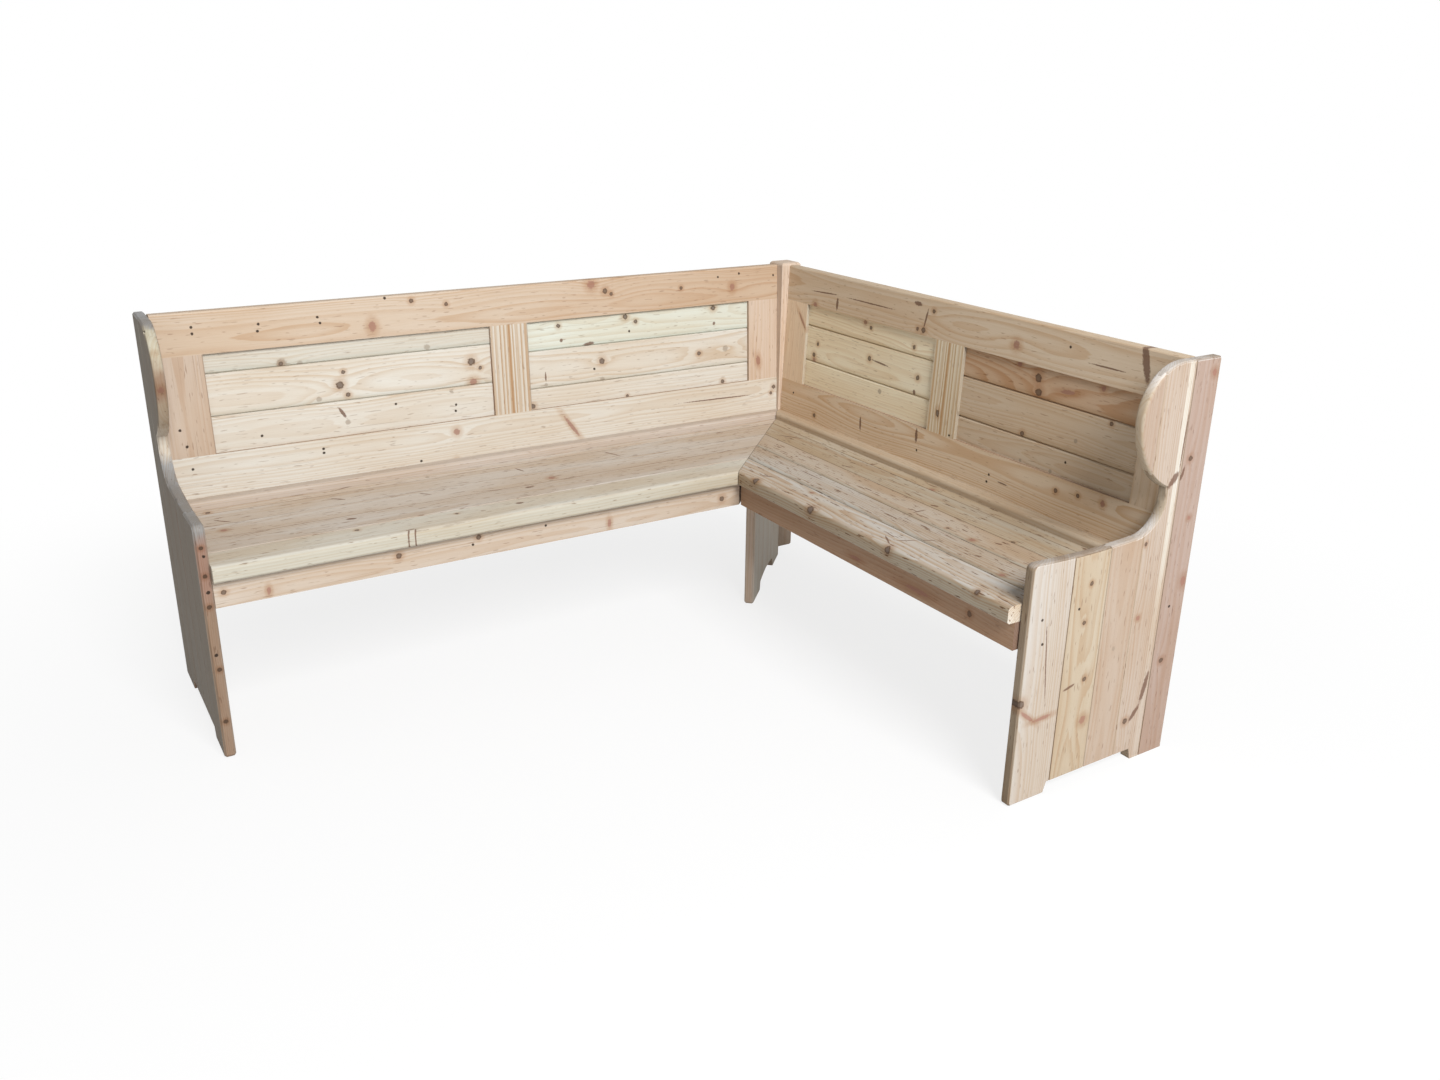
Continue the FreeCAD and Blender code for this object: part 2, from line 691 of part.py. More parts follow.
def build_corner_cleat(shift):
    """Cleat on the short bench's side of the corner panel, with its screws and their holes.

    It carries the mitred end of the seat, and runs from the post to the apron.  The screws
    are shifted along it, so that those from the panel's other side miss them.
    """
    half = LEG_THICK / 2
    reach = APRON_REAR * SQRT2
    low = SEAT_BOTTOM - CLEAT_HEIGHT
    blank = box(0, reach, half, half + CLEAT_THICK, low, SEAT_BOTTOM)
    upper = along_mitre(blank)
    rear = RAIL_FRONT + FIT
    front = APRON_REAR - FIT
    room = box(rear, front, rear, front, low - OVER, SEAT_BOTTOM + OVER)
    cleat = upper.common(room).cut(post_room())
    start = POST_FRONT * SQRT2 + half + shift
    end = LEG_FRONT * SQRT2 + shift
    screws = []
    holes = []
    level = SEAT_BOTTOM - CLEAT_HEIGHT / 2
    for place in screw_places(CORNER_CLEAT_SCREWS, start, end):
        at = vec(place, half + CLEAT_THICK, level)
        drive = screw(at, vec(0, -1, 0), CLEAT_THICK)
        hole = screw_hole(at, vec(0, -1, 0), CLEAT_THICK)
        screws.append(along_mitre(drive))
        holes.append(along_mitre(hole))
    for hole in holes:
        cleat = cleat.cut(hole)
    return cleat, screws, holes


def export(name, shape):
    shape.exportStep("parts/" + name + ".step")


def build_all():
    """Every piece by name, in its final place."""
    nodes = {}
    screws = []
    bearers = []
    benches = (
        ("long", "left_end", LONG_INNER, END_BEHIND_LONG, STILE, place_long,
         (FIRST_JOINT_LONG_CORNER, FIRST_JOINT_LONG_END)),
        ("short", "right_end", SHORT_INNER, END_BEHIND_SHORT, SHORT_END_STILE, place_short,
         (FIRST_JOINT_SHORT_CORNER, FIRST_JOINT_SHORT_END)),
    )
    for bench, end_name, inner, behind, end_stile, place, first_joints in benches:
        cleat, cleat_screws, holes = build_end_cleat(inner)
        planks, wing_tip = build_end()
        for number, plank in enumerate(planks):
            stood = stand_end(plank, inner, behind)
            for hole in holes:
                stood = stood.cut(hole)
            nodes["%s_plank_%d" % (end_name, number + 1)] = place(stood)
        nodes[end_name + "_wing_tip"] = place(stand_end(wing_tip, inner, behind))
        nodes[end_name + "_cleat"] = place(cleat)
        screws += [place(piece) for piece in cleat_screws]
        for number, board in enumerate(build_seat(inner)):
            nodes["%s_seat_board_%d" % (bench, number + 1)] = place(board)
        nodes[bench + "_apron"] = place(build_apron(inner))
        nodes[bench + "_rear_seat_rail"] = place(build_rear_rail(inner))
        bearers.append(place(build_bearer(muntin_centre(inner, end_stile))))
        nodes[bench + "_seat_fillet"] = place(build_fillet(inner))
        pieces, bays, heights = build_frame(inner, end_stile)
        for name, piece in pieces.items():
            nodes["%s_back_%s" % (bench, name)] = place(lean(piece))
        for side, bay, first in zip(("corner", "end"), bays, first_joints):
            for number, board in enumerate(build_boards(bay, heights, first)):
                nodes["%s_back_%s_board_%d" % (bench, side, number + 1)] = place(lean(board))
    nodes["corner_post"] = place_long(build_post())
    leg_planks = [place_long(plank) for plank in build_corner_leg()]
    sides = (("short", place_long, -SCREW_STAGGER / 2), ("long", place_short, SCREW_STAGGER / 2))
    for bench, place, shift in sides:
        cleat, cleat_screws, holes = build_corner_cleat(shift)
        nodes[bench + "_corner_cleat"] = place(cleat)
        screws += [place(piece) for piece in cleat_screws]
        for hole in holes:
            leg_planks = [plank.cut(place(hole)) for plank in leg_planks]
    for number, plank in enumerate(leg_planks):
        nodes["corner_leg_plank_%d" % (number + 1)] = plank
    nodes["cross_bearers"] = Part.makeCompound(bearers)
    nodes["cleat_screws"] = Part.makeCompound(screws)
    return nodes


os.makedirs("parts", exist_ok=True)
for node, shape in build_all().items():
    export(node, shape)
    print(node, len(shape.Solids), round(shape.Volume / 1000.0, 1))
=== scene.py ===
# %% [markdown]
# # A corner settle in reclaimed pine
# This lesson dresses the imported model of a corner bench.  The solids are already right in size
# and place, so the work here is finish: bare sanded softwood with its rings, knots, old nail
# holes and the dirt that stays in the joints, and arrises that years of use have worn soft.
# Every length is in metres.

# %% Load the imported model
import math

import bmesh
import bpy
import numpy as np
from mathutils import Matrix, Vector


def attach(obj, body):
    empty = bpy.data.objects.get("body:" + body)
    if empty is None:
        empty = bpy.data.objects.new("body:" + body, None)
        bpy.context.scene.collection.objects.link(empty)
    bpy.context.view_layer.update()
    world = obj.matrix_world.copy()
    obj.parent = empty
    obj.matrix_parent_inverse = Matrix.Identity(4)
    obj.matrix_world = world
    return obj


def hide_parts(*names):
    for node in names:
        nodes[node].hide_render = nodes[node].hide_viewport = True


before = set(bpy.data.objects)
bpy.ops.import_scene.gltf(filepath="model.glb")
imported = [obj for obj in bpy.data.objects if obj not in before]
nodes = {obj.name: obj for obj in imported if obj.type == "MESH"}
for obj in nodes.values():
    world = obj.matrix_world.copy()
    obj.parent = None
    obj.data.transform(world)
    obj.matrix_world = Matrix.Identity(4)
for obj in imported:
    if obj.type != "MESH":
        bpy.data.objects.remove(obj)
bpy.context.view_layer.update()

print("pieces in the frame:", len(nodes))

# %% [markdown]
# ## Directions of the boards
# Wood looks different along and across the grain, so each family of boards needs to know which
# way it runs.  `along` follows the grain, `across` is the width of the board and `out` points
# out of its show face.  The backrests lean back by a few degrees, so only their `out` is tilted:
# that keeps heights and lengths easy to read in the lists of knots below.

# %% The facings
RAKE = math.radians(2.5)
LEAN_OUT = math.cos(RAKE)
LEAN_UP = math.sin(RAKE)
DIAGONAL = math.sqrt(0.5)
X_AXIS = (1.0, 0.0, 0.0)
Y_AXIS = (0.0, 1.0, 0.0)
Z_AXIS = (0.0, 0.0, 1.0)
LONG_OUT = (0.0, -LEAN_OUT, LEAN_UP)
SHORT_OUT = (-LEAN_OUT, 0.0, LEAN_UP)
FACINGS = {
    "long_back": (X_AXIS, Z_AXIS, LONG_OUT),
    "long_upright": (Z_AXIS, X_AXIS, LONG_OUT),
    "short_back": (Y_AXIS, Z_AXIS, SHORT_OUT),
    "short_upright": (Z_AXIS, Y_AXIS, SHORT_OUT),
    "long_seat": (X_AXIS, Y_AXIS, Z_AXIS),
    "short_seat": (Y_AXIS, X_AXIS, Z_AXIS),
    "long_front": (X_AXIS, Z_AXIS, (0.0, -1.0, 0.0)),
    "short_front": (Y_AXIS, Z_AXIS, (-1.0, 0.0, 0.0)),
    "left_end": (Z_AXIS, Y_AXIS, (-1.0, 0.0, 0.0)),
    "right_end": (Z_AXIS, X_AXIS, (0.0, -1.0, 0.0)),
    "leg": (Z_AXIS, (DIAGONAL, DIAGONAL, 0.0), (DIAGONAL, -DIAGONAL, 0.0)),
}


def corners(mesh):
    """All vertex places of a mesh as one array."""
    places = np.empty(len(mesh.vertices) * 3, np.float32)
    mesh.vertices.foreach_get("co", places)
    return places.reshape(-1, 3)


def reach(node, direction):
    """Least and greatest distance of a node's corners along a direction."""
    along = corners(nodes[node].data) @ np.array(direction)
    return float(along.min()), float(along.max())


print("facings:", ", ".join(FACINGS))

# %% [markdown]
# ## A small language for shader nodes
# Node trees get long when every node is placed by hand.  This helper adds one node per call and
# takes sockets and plain values alike, so that a formula reads as a formula.

# %% Shader helper


class Tree:
    """Adds shader nodes to a tree; each method returns the socket that holds its result."""

    def __init__(self, tree):
        self.tree = tree

    def feed(self, socket, value):
        """Link a socket to a socket, or set its value."""
        if isinstance(value, bpy.types.NodeSocket):
            self.tree.links.new(value, socket)
        else:
            socket.default_value = value

    def node(self, kind, inputs=None, **settings):
        made = self.tree.nodes.new(kind)
        for name, value in settings.items():
            setattr(made, name, value)
        for key, value in (inputs or {}).items():
            self.feed(made.inputs[key], value)
        return made

    def math(self, operation, first, second=0.0, third=0.0):
        inputs = {0: first, 1: second, 2: third}
        return self.node("ShaderNodeMath", inputs, operation=operation).outputs[0]

    def vector_math(self, operation, first, second, result=0):
        inputs = {0: first, 1: second}
        made = self.node("ShaderNodeVectorMath", inputs, operation=operation)
        return made.outputs[result]

    def dot(self, vector, direction):
        return self.vector_math("DOT_PRODUCT", vector, direction, "Value")

    def length(self, vector):
        return self.vector_math("LENGTH", vector, (0.0, 0.0, 0.0), "Value")

    def scale(self, vector, factors):
        return self.vector_math("MULTIPLY", vector, factors)

    def vector(self, x, y, z):
        return self.node("ShaderNodeCombineXYZ", {0: x, 1: y, 2: z}).outputs[0]

    def noise(self, vector, scale=1.0, detail=2.0, rough=0.5):
        inputs = {"Vector": vector, "Scale": scale, "Detail": detail, "Roughness": rough}
        return self.node("ShaderNodeTexNoise", inputs).outputs["Fac"]

    def band(self, value, low, high, start=0.0, end=1.0):
        """Smooth step of value from start to end between low and high."""
        inputs = {"Value": value, "From Min": low, "From Max": high, "To Min": start, "To Max": end}
        made = self.node("ShaderNodeMapRange", inputs, interpolation_type="SMOOTHSTEP")
        return made.outputs[0]

    def mix(self, factor, first, second, blend="MIX"):
        made = self.node("ShaderNodeMix", data_type="RGBA", blend_type=blend)
        for key, value in ((0, factor), (6, first), (7, second)):
            self.feed(made.inputs[key], value)
        return made.outputs[2]

    def stain(self, factor, colour, share):
        """Colour multiplied by share, as far as factor says."""
        return self.mix(factor, colour, share, "MULTIPLY")


def new_group(name, inputs, outputs):
    """Empty node group with named sockets, its tree helper, its inputs and its outputs."""
    tree = bpy.data.node_groups.new(name, "ShaderNodeTree")
    for label, kind in inputs:
        tree.interface.new_socket(label, in_out="INPUT", socket_type=kind)
    for label in outputs:
        tree.interface.new_socket(label, in_out="OUTPUT", socket_type="NodeSocketFloat")
    source = tree.nodes.new("NodeGroupInput")
    sink = tree.nodes.new("NodeGroupOutput")
    return Tree(tree), source.outputs, sink.inputs


FLOAT = "NodeSocketFloat"
VECTOR = "NodeSocketVector"
print("shader helper ready")

# %% [markdown]
# ## A mark on a board
# A knot, a nail hole and a slanting spike knot are all the same thing: an ellipse at a place on
# the board.  The group returns the distance from its centre, where 1 is its edge, with a little
# noise in it so that no mark is a clean oval.  It also returns how much the growth rings bulge
# round it, which falls off like a bell.  A mark goes right through the board, unless Deep is 1:
# then it is a spot with a place in the thickness as well, as nail holes in a narrow edge are.

# %% Mark group
BULGE_LONG = 0.3                        # rings bend far along the board, so length counts less
BULGE_FALL = -0.55                      # how fast the bulge dies away, per half width


def make_mark_group():
    """Node group that measures the distance from one mark and the bulge of the rings."""
    inputs = (("Point", VECTOR), ("Rough", FLOAT), ("Centre", VECTOR), ("Length", FLOAT),
              ("Width", FLOAT), ("Turn", FLOAT), ("Deep", FLOAT))
    tree, given, result = new_group("board mark", inputs, ("Edge", "Bulge"))
    away = tree.vector_math("SUBTRACT", given["Point"], given["Centre"])
    flat = tree.scale(away, tree.vector(1.0, 1.0, given["Deep"]))
    turned = tree.node("ShaderNodeVectorRotate", {"Vector": flat, "Angle": given["Turn"]},
                       rotation_type="Z_AXIS").outputs[0]
    size = tree.vector(given["Length"], given["Width"], given["Width"])
    distance = tree.length(tree.vector_math("DIVIDE", turned, size))
    tree.feed(result["Edge"], tree.math("ADD", distance, given["Rough"]))
    sideways = tree.length(tree.scale(flat, (BULGE_LONG, 1.0, 0.0)))
    relative = tree.math("DIVIDE", sideways, given["Width"])
    bell = tree.math("EXPONENT", tree.math("MULTIPLY", relative, BULGE_FALL))
    tree.feed(result["Bulge"], tree.math("MULTIPLY", bell, given["Width"]))
    return tree.tree


MARK = make_mark_group()
print("group:", MARK.name)

# %% [markdown]
# ## Growth rings
# A board is a slice of a trunk, so its figure is a slice through thin cylinders round the pith.
# The group measures the distance from a pith that runs beside the board, bends it slowly with
# noise, and cuts it into rings.  Each ring darkens slowly and ends sharply, as summer wood does
# in pine.  Because the pattern is solid, end grain and faces agree without any unwrapping.

# %% Ring group
SLOW_GRAIN = (1.6, 6.0, 6.0)            # noise scales along, across and through the board
RIPPLE_GRAIN = (5.0, 90.0, 90.0)
FIBRE_GRAIN = (14.0, 900.0, 900.0)
BLOTCH_GRAIN = (2.2, 11.0, 11.0)
FLECK_GRAIN = (34.0, 260.0, 260.0)
CHECK_GRAIN = (4.0, 420.0, 420.0)
RIPPLE = 0.0022                         # how far the fine ripple moves a ring
YEARS = 70.0                            # rate at which ring widths change along the radius
YEARS_SPREAD = 1.6                      # rings by which good and bad years shift them


def make_ring_group():
    """Node group with the rings, fibre, blotches, flecks and checks of a board."""
    inputs = (("Point", VECTOR), ("Pith", VECTOR), ("Bulge", FLOAT), ("Pitch", FLOAT),
              ("Wave", FLOAT))
    tree, given, result = new_group("growth rings", inputs,
                                    ("Ring", "Fibre", "Blotch", "Fleck", "Check"))
    point = given["Point"]
    slow = tree.noise(tree.scale(point, SLOW_GRAIN), 1.0, 1.0)
    sway = tree.math("MULTIPLY", tree.math("SUBTRACT", slow, 0.5), given["Wave"])
    from_pith = tree.vector_math("SUBTRACT", point, given["Pith"])
    radius = tree.length(tree.scale(from_pith, (0.0, 1.0, 1.0)))
    ripple = tree.noise(tree.scale(point, RIPPLE_GRAIN), 1.0, 2.0)
    bent = tree.math("ADD", radius, sway)
    bent = tree.math("MULTIPLY_ADD", ripple, RIPPLE, bent)
    bent = tree.math("ADD", bent, given["Bulge"])
    uneven = tree.noise(tree.vector(0.0, tree.math("MULTIPLY", bent, YEARS), 0.0), 1.0, 1.0)
    counted = tree.math("DIVIDE", bent, given["Pitch"])
    counted = tree.math("MULTIPLY_ADD", uneven, YEARS_SPREAD, counted)
    phase = tree.math("FRACT", counted)
    rise = tree.band(phase, 0.25, 0.9)
    fall = tree.band(phase, 0.93, 1.0, 1.0, 0.0)
    faint = tree.band(uneven, 0.35, 0.65, 0.45, 1.0)
    ring = tree.math("MULTIPLY", tree.math("MULTIPLY", rise, fall), faint)
    tree.feed(result["Ring"], ring)
    fibre = tree.noise(tree.scale(point, FIBRE_GRAIN), 1.0, 3.0, 0.6)
    tree.feed(result["Fibre"], fibre)
    tree.feed(result["Blotch"], tree.noise(tree.scale(point, BLOTCH_GRAIN), 1.0, 3.0))
    fleck = tree.noise(tree.scale(point, FLECK_GRAIN), 1.0, 1.0)
    tree.feed(result["Fleck"], tree.band(fleck, 0.665, 0.73))
    check = tree.noise(tree.scale(point, CHECK_GRAIN), 1.0, 1.0)
    tree.feed(result["Check"], tree.band(check, 0.70, 0.75))
    return tree.tree


RINGS = make_ring_group()
print("group:", RINGS.name)

# %% [markdown]
# ## Tones of the wood
# The boards of this bench come from different old timbers, so each has its own tone.  A tone is
# the colour of the early wood; late wood, knots and dirt are worked out from it or laid on it.
# The values are linear reflectances, as the shader takes them.

# %% Tones
TONES = {
    "chalk": (0.60, 0.63, 0.57),
    "lemon": (0.80, 0.73, 0.56),
    "lime": (0.88, 0.76, 0.66),
    "linen": (0.505, 0.47, 0.43),
    "biscuit": (0.50, 0.43, 0.36),
    "cream": (0.60, 0.575, 0.52),
    "oat": (0.54, 0.52, 0.46),
    "peach": (0.53, 0.44, 0.35),
    "rose": (0.56, 0.46, 0.375),
    "honey": (0.62, 0.505, 0.375),
    "butter": (0.69, 0.63, 0.50),
    "amber": (0.48, 0.345, 0.235),
    "tan": (0.55, 0.45, 0.335),
    "caramel": (0.50, 0.385, 0.285),
    "driftwood": (0.51, 0.465, 0.415),
    "ash": (0.49, 0.472, 0.443),
    "dusty": (0.465, 0.44, 0.405),
    "dun": (0.455, 0.40, 0.335),
    "umber": (0.42, 0.38, 0.31),
    "brick": (0.43, 0.285, 0.19),
    "shell": (0.48, 0.425, 0.375),
    "flax": (0.40, 0.322, 0.265),
    "sand": (0.47, 0.405, 0.315),
    "clay": (0.44, 0.355, 0.285),
    "old_rose": (0.385, 0.295, 0.25),
    "slate": (0.18, 0.157, 0.125),
    "pearl": (0.67, 0.66, 0.65),
    "bone": (0.68, 0.645, 0.575),
    "fog": (0.66, 0.66, 0.56),
    "steel": (0.37, 0.39, 0.41),
    "hazel": (0.42, 0.32, 0.245),
    "oak": (0.47, 0.40, 0.31),
    "flesh": (0.40, 0.27, 0.22),
    "russet": (0.355, 0.262, 0.195),
    "peat": (0.37, 0.325, 0.255),
    "cocoa": (0.21, 0.14, 0.105),
    "sage": (0.475, 0.455, 0.385),
    "blush": (0.46, 0.385, 0.323),
}
LATE = (0.78, 0.60, 0.43, 1.0)          # late wood, as a share of the early wood
WARM = (0.88, 0.77, 0.65, 1.0)          # slow blotches
DARK_FIBRE = (0.72, 0.60, 0.48, 1.0)
FLECK = (0.40, 0.28, 0.21, 1.0)
PIT = (0.42, 0.31, 0.25, 1.0)           # short dark pits of a worn seat
# dirt in the joints, and painted shade down in the grooves
GRIME_AND_SHADE = (0.34, 0.27, 0.20, 1.0)
PAINTED_JOINT_SHADE = (0.80, 0.85, 0.85, 1.0)          # painted soft grey shade above a joint
BROWN_PAINTED_JOINT_SHADE = (0.76, 0.71, 0.63, 1.0)    # the same painted shade, brown, on the oldest boards
HALO = (0.74, 0.55, 0.41, 1.0)          # resin round a knot
KINDS = {                               # colour of a mark and how strongly it covers
    "knot": ((0.085, 0.045, 0.025, 1.0), 0.95),
    "red": ((0.27, 0.13, 0.095, 1.0), 0.72),
    "grey": ((0.26, 0.21, 0.16, 1.0), 0.60),
    "nail": ((0.03, 0.018, 0.012, 1.0), 0.95),
    "streak": ((0.13, 0.065, 0.04, 1.0), 0.85),
}
print("tones:", len(TONES))

# %% [markdown]
# ## Knots and nails by place
# The boards below carry lists of their marks: how far along the board, how far across, how
# large.  Places are in metres, in the directions of the board's facing, and sizes are in
# millimetres.  A painted texture could hold the marks too, but a list is easier to correct.  A
# streak runs between two places, as a spike knot or a crack does.

# %% Marks
KNOT_SIZE = 1700.0                      # millimetres across to metres of half width
STREAK_SIZE = 1500.0                    # the same for the width of a streak
NAIL_HOLE = 6.0


def knot(along, across, size, kind="knot"):
    """Round mark of a size in millimetres."""
    half = size / KNOT_SIZE
    return (along, across, half, half, 0.0, kind)


def nail(along, across):
    """Old nail hole."""
    return knot(along, across, NAIL_HOLE, "nail")


def spot(along, across, out, size, kind="nail"):
    """Mark with a place in the thickness too, for the narrow edges of a board."""
    return knot(along, across, size, kind) + (out,)


def streak(along, across, to_along, to_across, width, kind="streak"):
    """Long thin mark between two places: its middle, half length, half width and slope."""
    run = to_along - along
    rise = to_across - across
    middle = ((along + to_along) / 2, (across + to_across) / 2)
    return middle + (math.hypot(run, rise) / 2, width / STREAK_SIZE, math.atan2(rise, run), kind)


print("marks: knot, nail, spot, streak")

# %% [markdown]
# ## Laying a mark on the wood
# A knot is dark near its rim, a little paler at its heart, and has resin round it.  The rings
# bend round knots, so the bulges of a board's knots are added up for the ring group.

# %% Laying marks
RAGGED_SCALE = 190.0                    # fineness of the noise on the rim of a mark
RAGGED = 0.8                            # its strength, as a share of the mark's half width
HEART = 0.15                            # how far the heart of a knot shows the early wood
DARKEST = 0.8                           # distance of a knot's dark ring, where 1 is its edge
PRESSED = -0.4                          # how far a mark lies below the wood, for the bump
ROUND_KINDS = ("knot", "red", "grey")   # the rings bend round these


def place_marks(tree, point, marks):
    """A mark group for each mark, with its kind, and the bulge that they give the rings."""
    rough = 0.0
    if marks:
        ragged = tree.noise(point, RAGGED_SCALE, 2.0)
        rough = tree.math("MULTIPLY_ADD", ragged, RAGGED, -RAGGED / 2)
    placed = []
    bulge = 0.0
    for along, across, half_length, half_width, turn, kind, *depth in marks:
        group = tree.node("ShaderNodeGroup", node_tree=MARK)
        tree.feed(group.inputs["Point"], point)
        tree.feed(group.inputs["Rough"], rough)
        group.inputs["Deep"].default_value = float(len(depth))
        group.inputs["Centre"].default_value = (along, across, depth[0] if depth else 0.0)
        group.inputs["Length"].default_value = half_length
        group.inputs["Width"].default_value = half_width
        group.inputs["Turn"].default_value = -turn
        placed.append((group, kind))
        if kind in ROUND_KINDS:
            bulge = tree.math("ADD", bulge, group.outputs["Bulge"])
    return placed, bulge


def lay_mark(tree, group, kind, colour, height, early):
    """Lay one mark over the colour and press it a little into the height."""
    core, cover = KINDS[kind]
    edge = group.outputs["Edge"]
    inside = tree.band(edge, 0.7, 1.15, cover, 0.0)
    if kind == "knot":
        off_ring = tree.math("ABSOLUTE", tree.math("SUBTRACT", edge, DARKEST))
        pale = tree.mix(HEART, core, early)
        core = tree.mix(tree.band(off_ring, 0.0, 0.35, 1.0, 0.0), pale, core)
    if kind in ("knot", "red"):
        colour = tree.stain(tree.band(edge, 1.0, 2.8, 0.5, 0.0), colour, HALO)
    colour = tree.mix(inside, colour, core)
    return colour, tree.math("MULTIPLY_ADD", inside, PRESSED, height)


print("kinds of mark:", ", ".join(KINDS))

# %% [markdown]
# ## Figure of a board
# The same trunk gives arches or stripes, depending on where the saw passed: the pith lies far to
# the side for stripes and close behind the face for arches.  Each board draws its pith and its
# piece of the trunk from its own name, so every run gives the same ones.

# %% Figures
FIGURES = {                             # ring strength, ring distance, waviness
    "quiet": (0.36, 0.0060, 0.022),
    "plain": (0.50, 0.0048, 0.030),
    "lively": (0.80, 0.0052, 0.045),
    "striped": (1.70, 0.0115, 0.010),
}
STRIPE_PITH = (0.35, 0.05)              # beside the board's middle, and below its face
ARCH_ASIDE = 0.07
ARCH_BELOW = (0.035, 0.10)
TRUNK_LENGTH = 9.0


def random_place(seed, low, high):
    """Repeatable number between low and high."""
    return float(low + (high - low) * np.random.default_rng(seed).random())


def pith_of(node, figure, across, out, seed):
    """Where the pith runs beside a board, as a place across and a level."""
    low, high = reach(node, across)
    level = reach(node, out)[1]
    middle = (low + high) / 2
    if figure == "striped":
        return (middle + STRIPE_PITH[0], level - STRIPE_PITH[1])
    aside = random_place(seed + 1, -ARCH_ASIDE, ARCH_ASIDE)
    return (middle + aside, level - random_place(seed + 2, *ARCH_BELOW))


def grow(tree, node, figure, point, across, out, bulge):
    """Ring group of one board, and the point of the trunk that it was cut from."""
    seed = sum((place + 1) * ord(letter) for place, letter in enumerate(node))
    shift = (random_place(seed, 0.0, TRUNK_LENGTH), 0.0, 0.0)
    shifted = tree.vector_math("ADD", point, shift)
    pith = pith_of(node, figure, across, out, seed)
    rings = tree.node("ShaderNodeGroup", node_tree=RINGS)
    tree.feed(rings.inputs["Point"], shifted)
    rings.inputs["Pith"].default_value = (0.0, pith[0], pith[1])
    rings.inputs["Pitch"].default_value = FIGURES[figure][1]
    rings.inputs["Wave"].default_value = FIGURES[figure][2]
    tree.feed(rings.inputs["Bulge"], tree.math("MULTIPLY", bulge, 0.8))
    return rings.outputs, shifted


print("figures:", ", ".join(FIGURES))

# %% [markdown]
# ## Other tones on one board
# Some boards have more than one tone: a band of sapwood, a rail that turns slowly redder, a sawn
# rim with painted light and shade, and painted shade above a joint.  A second material on a part
# of the mesh would follow the triangles.
# So each helper takes the colour so far and returns the next one, and a border can wander.

# %% Other tones
BAND_WANDER = 0.006                     # how far the sapwood's border wanders
BAND_SOFT = (0.002, 0.004)              # where its soft border starts and ends
FOOT_FADE = 0.15                        # half the length on which the band fades
FOOT_LEFT = 0.25                        # and what is left of it below
TURN_WANDER = 0.3
# height of the painted shade above a joint
PAINTED_SHADE_HEIGHT = 0.018


def tint(tone, shade=1.0):
    """A tone made lighter or darker, as the shader wants it."""
    return tuple(part * shade for part in TONES[tone]) + (1.0,)


def looks_to(tree, direction):
    """How squarely a face looks to a direction: 1 to it, -1 away from it."""
    return tree.dot(tree.node("ShaderNodeTexCoord").outputs["Normal"], direction)


def sapwood(tree, colour, along, across, blotch, wear, shade):
    """Band of another tone between two places across, faded below the place foot."""
    low, high, tone, foot = wear
    wander = tree.math("MULTIPLY_ADD", blotch, BAND_WANDER, across)
    inner = tree.band(wander, low + BAND_SOFT[0], low + BAND_SOFT[1])
    outer = tree.band(wander, high + BAND_SOFT[0], high + BAND_SOFT[1], 1.0, 0.0)
    held = tree.band(along, foot - FOOT_FADE, foot + FOOT_FADE, FOOT_LEFT, 1.0)
    amount = tree.math("MULTIPLY", tree.math("MULTIPLY", inner, outer), held)
    return tree.mix(amount, colour, tint(tone, shade))


def slow_turn(tree, colour, along, blotch, turning, shade):
    """Another tone that comes in slowly along the board."""
    start, end, tone = turning
    half = TURN_WANDER / 2
    wander = tree.math("MULTIPLY_ADD", blotch, TURN_WANDER, along)
    turned = tree.band(wander, start + half, end + half)
    return tree.mix(turned, colour, tint(tone, shade))


def inner_face(tree, colour, out, tone):
    """Another tone on the face that looks away from the show face."""
    away = tree.band(looks_to(tree, out), -0.6, -0.2, 1.0, 0.0)
    return tree.mix(away, colour, tint(tone))


def sawn_rim(tree, colour, point, out, stops, cap, shade):
    """Other colours on the sawn rim: its own tones, and painted light and shade on its flanks.

    stops give them by place along the board, and cap is a tone painted on what looks up: pale as
    light on the ends, dark as shade on the bottom rails.
    """
    facing_out = tree.math("ABSOLUTE", looks_to(tree, out))
    along = tree.node("ShaderNodeSeparateXYZ", {0: point}).outputs[0]
    uneven = tree.math("MULTIPLY_ADD", tree.noise(point, 30.0), 0.04, -0.02)
    ramp = tree.node("ShaderNodeValToRGB", {0: tree.math("ADD", along, uneven)})
    colours = ramp.color_ramp.elements
    while len(colours) < len(stops):
        colours.new(1.0)
    for element, (place, tone) in zip(colours, stops):
        element.position = place
        element.color = tint(tone, shade)
    edge = ramp.outputs[0]
    if cap:
        up = tree.band(looks_to(tree, Z_AXIS), 0.35, 0.8)
        edge = tree.mix(up, edge, tint(cap, shade))
    return tree.mix(tree.band(facing_out, 0.55, 0.95), edge, colour)


def end_grain(tree, colour, along, tone):
    """Another tone on the sawn ends; mitred ends keep the board's own."""
    squarely = tree.math("ABSOLUTE", looks_to(tree, along))
    return tree.mix(tree.band(squarely, 0.8, 0.95), colour, tint(tone))


def paint_shade_above_joint(tree, colour, across, joint, facing):
    """Painted soft shade above a joint."""
    shade = BROWN_PAINTED_JOINT_SHADE if facing == "short_back" else PAINTED_JOINT_SHADE
    return tree.stain(tree.band(across, joint, joint + PAINTED_SHADE_HEIGHT, 0.9, 0.0), colour, shade)


print("helpers: sapwood, slow turn, inner face, sawn rim, end grain, shade above a joint")

# %% [markdown]
# ## Late wood, wear, dirt and painted shade
# Over the early wood lie the rings, slow warm blotches, the fibre, short flecks and fine checks,
# and on the seats small dark pits.  Dirt and painted shade come last: dirt in a thin line at a
# joint, and both down in the grooves.

# %% Wear, dirt and painted shade
FIBRE_SHARE = 0.22
CHECK_SHARE = 0.35
PIT_GRAIN = (22.0, 140.0, 140.0)        # pits are long along the board
JOINT_DIRT = (0.0008, 0.0026)           # the dark line beside a joint, from full to none
GROOVE_START = 0.2                      # share of a groove's depth at which its dirt and painted shade begin
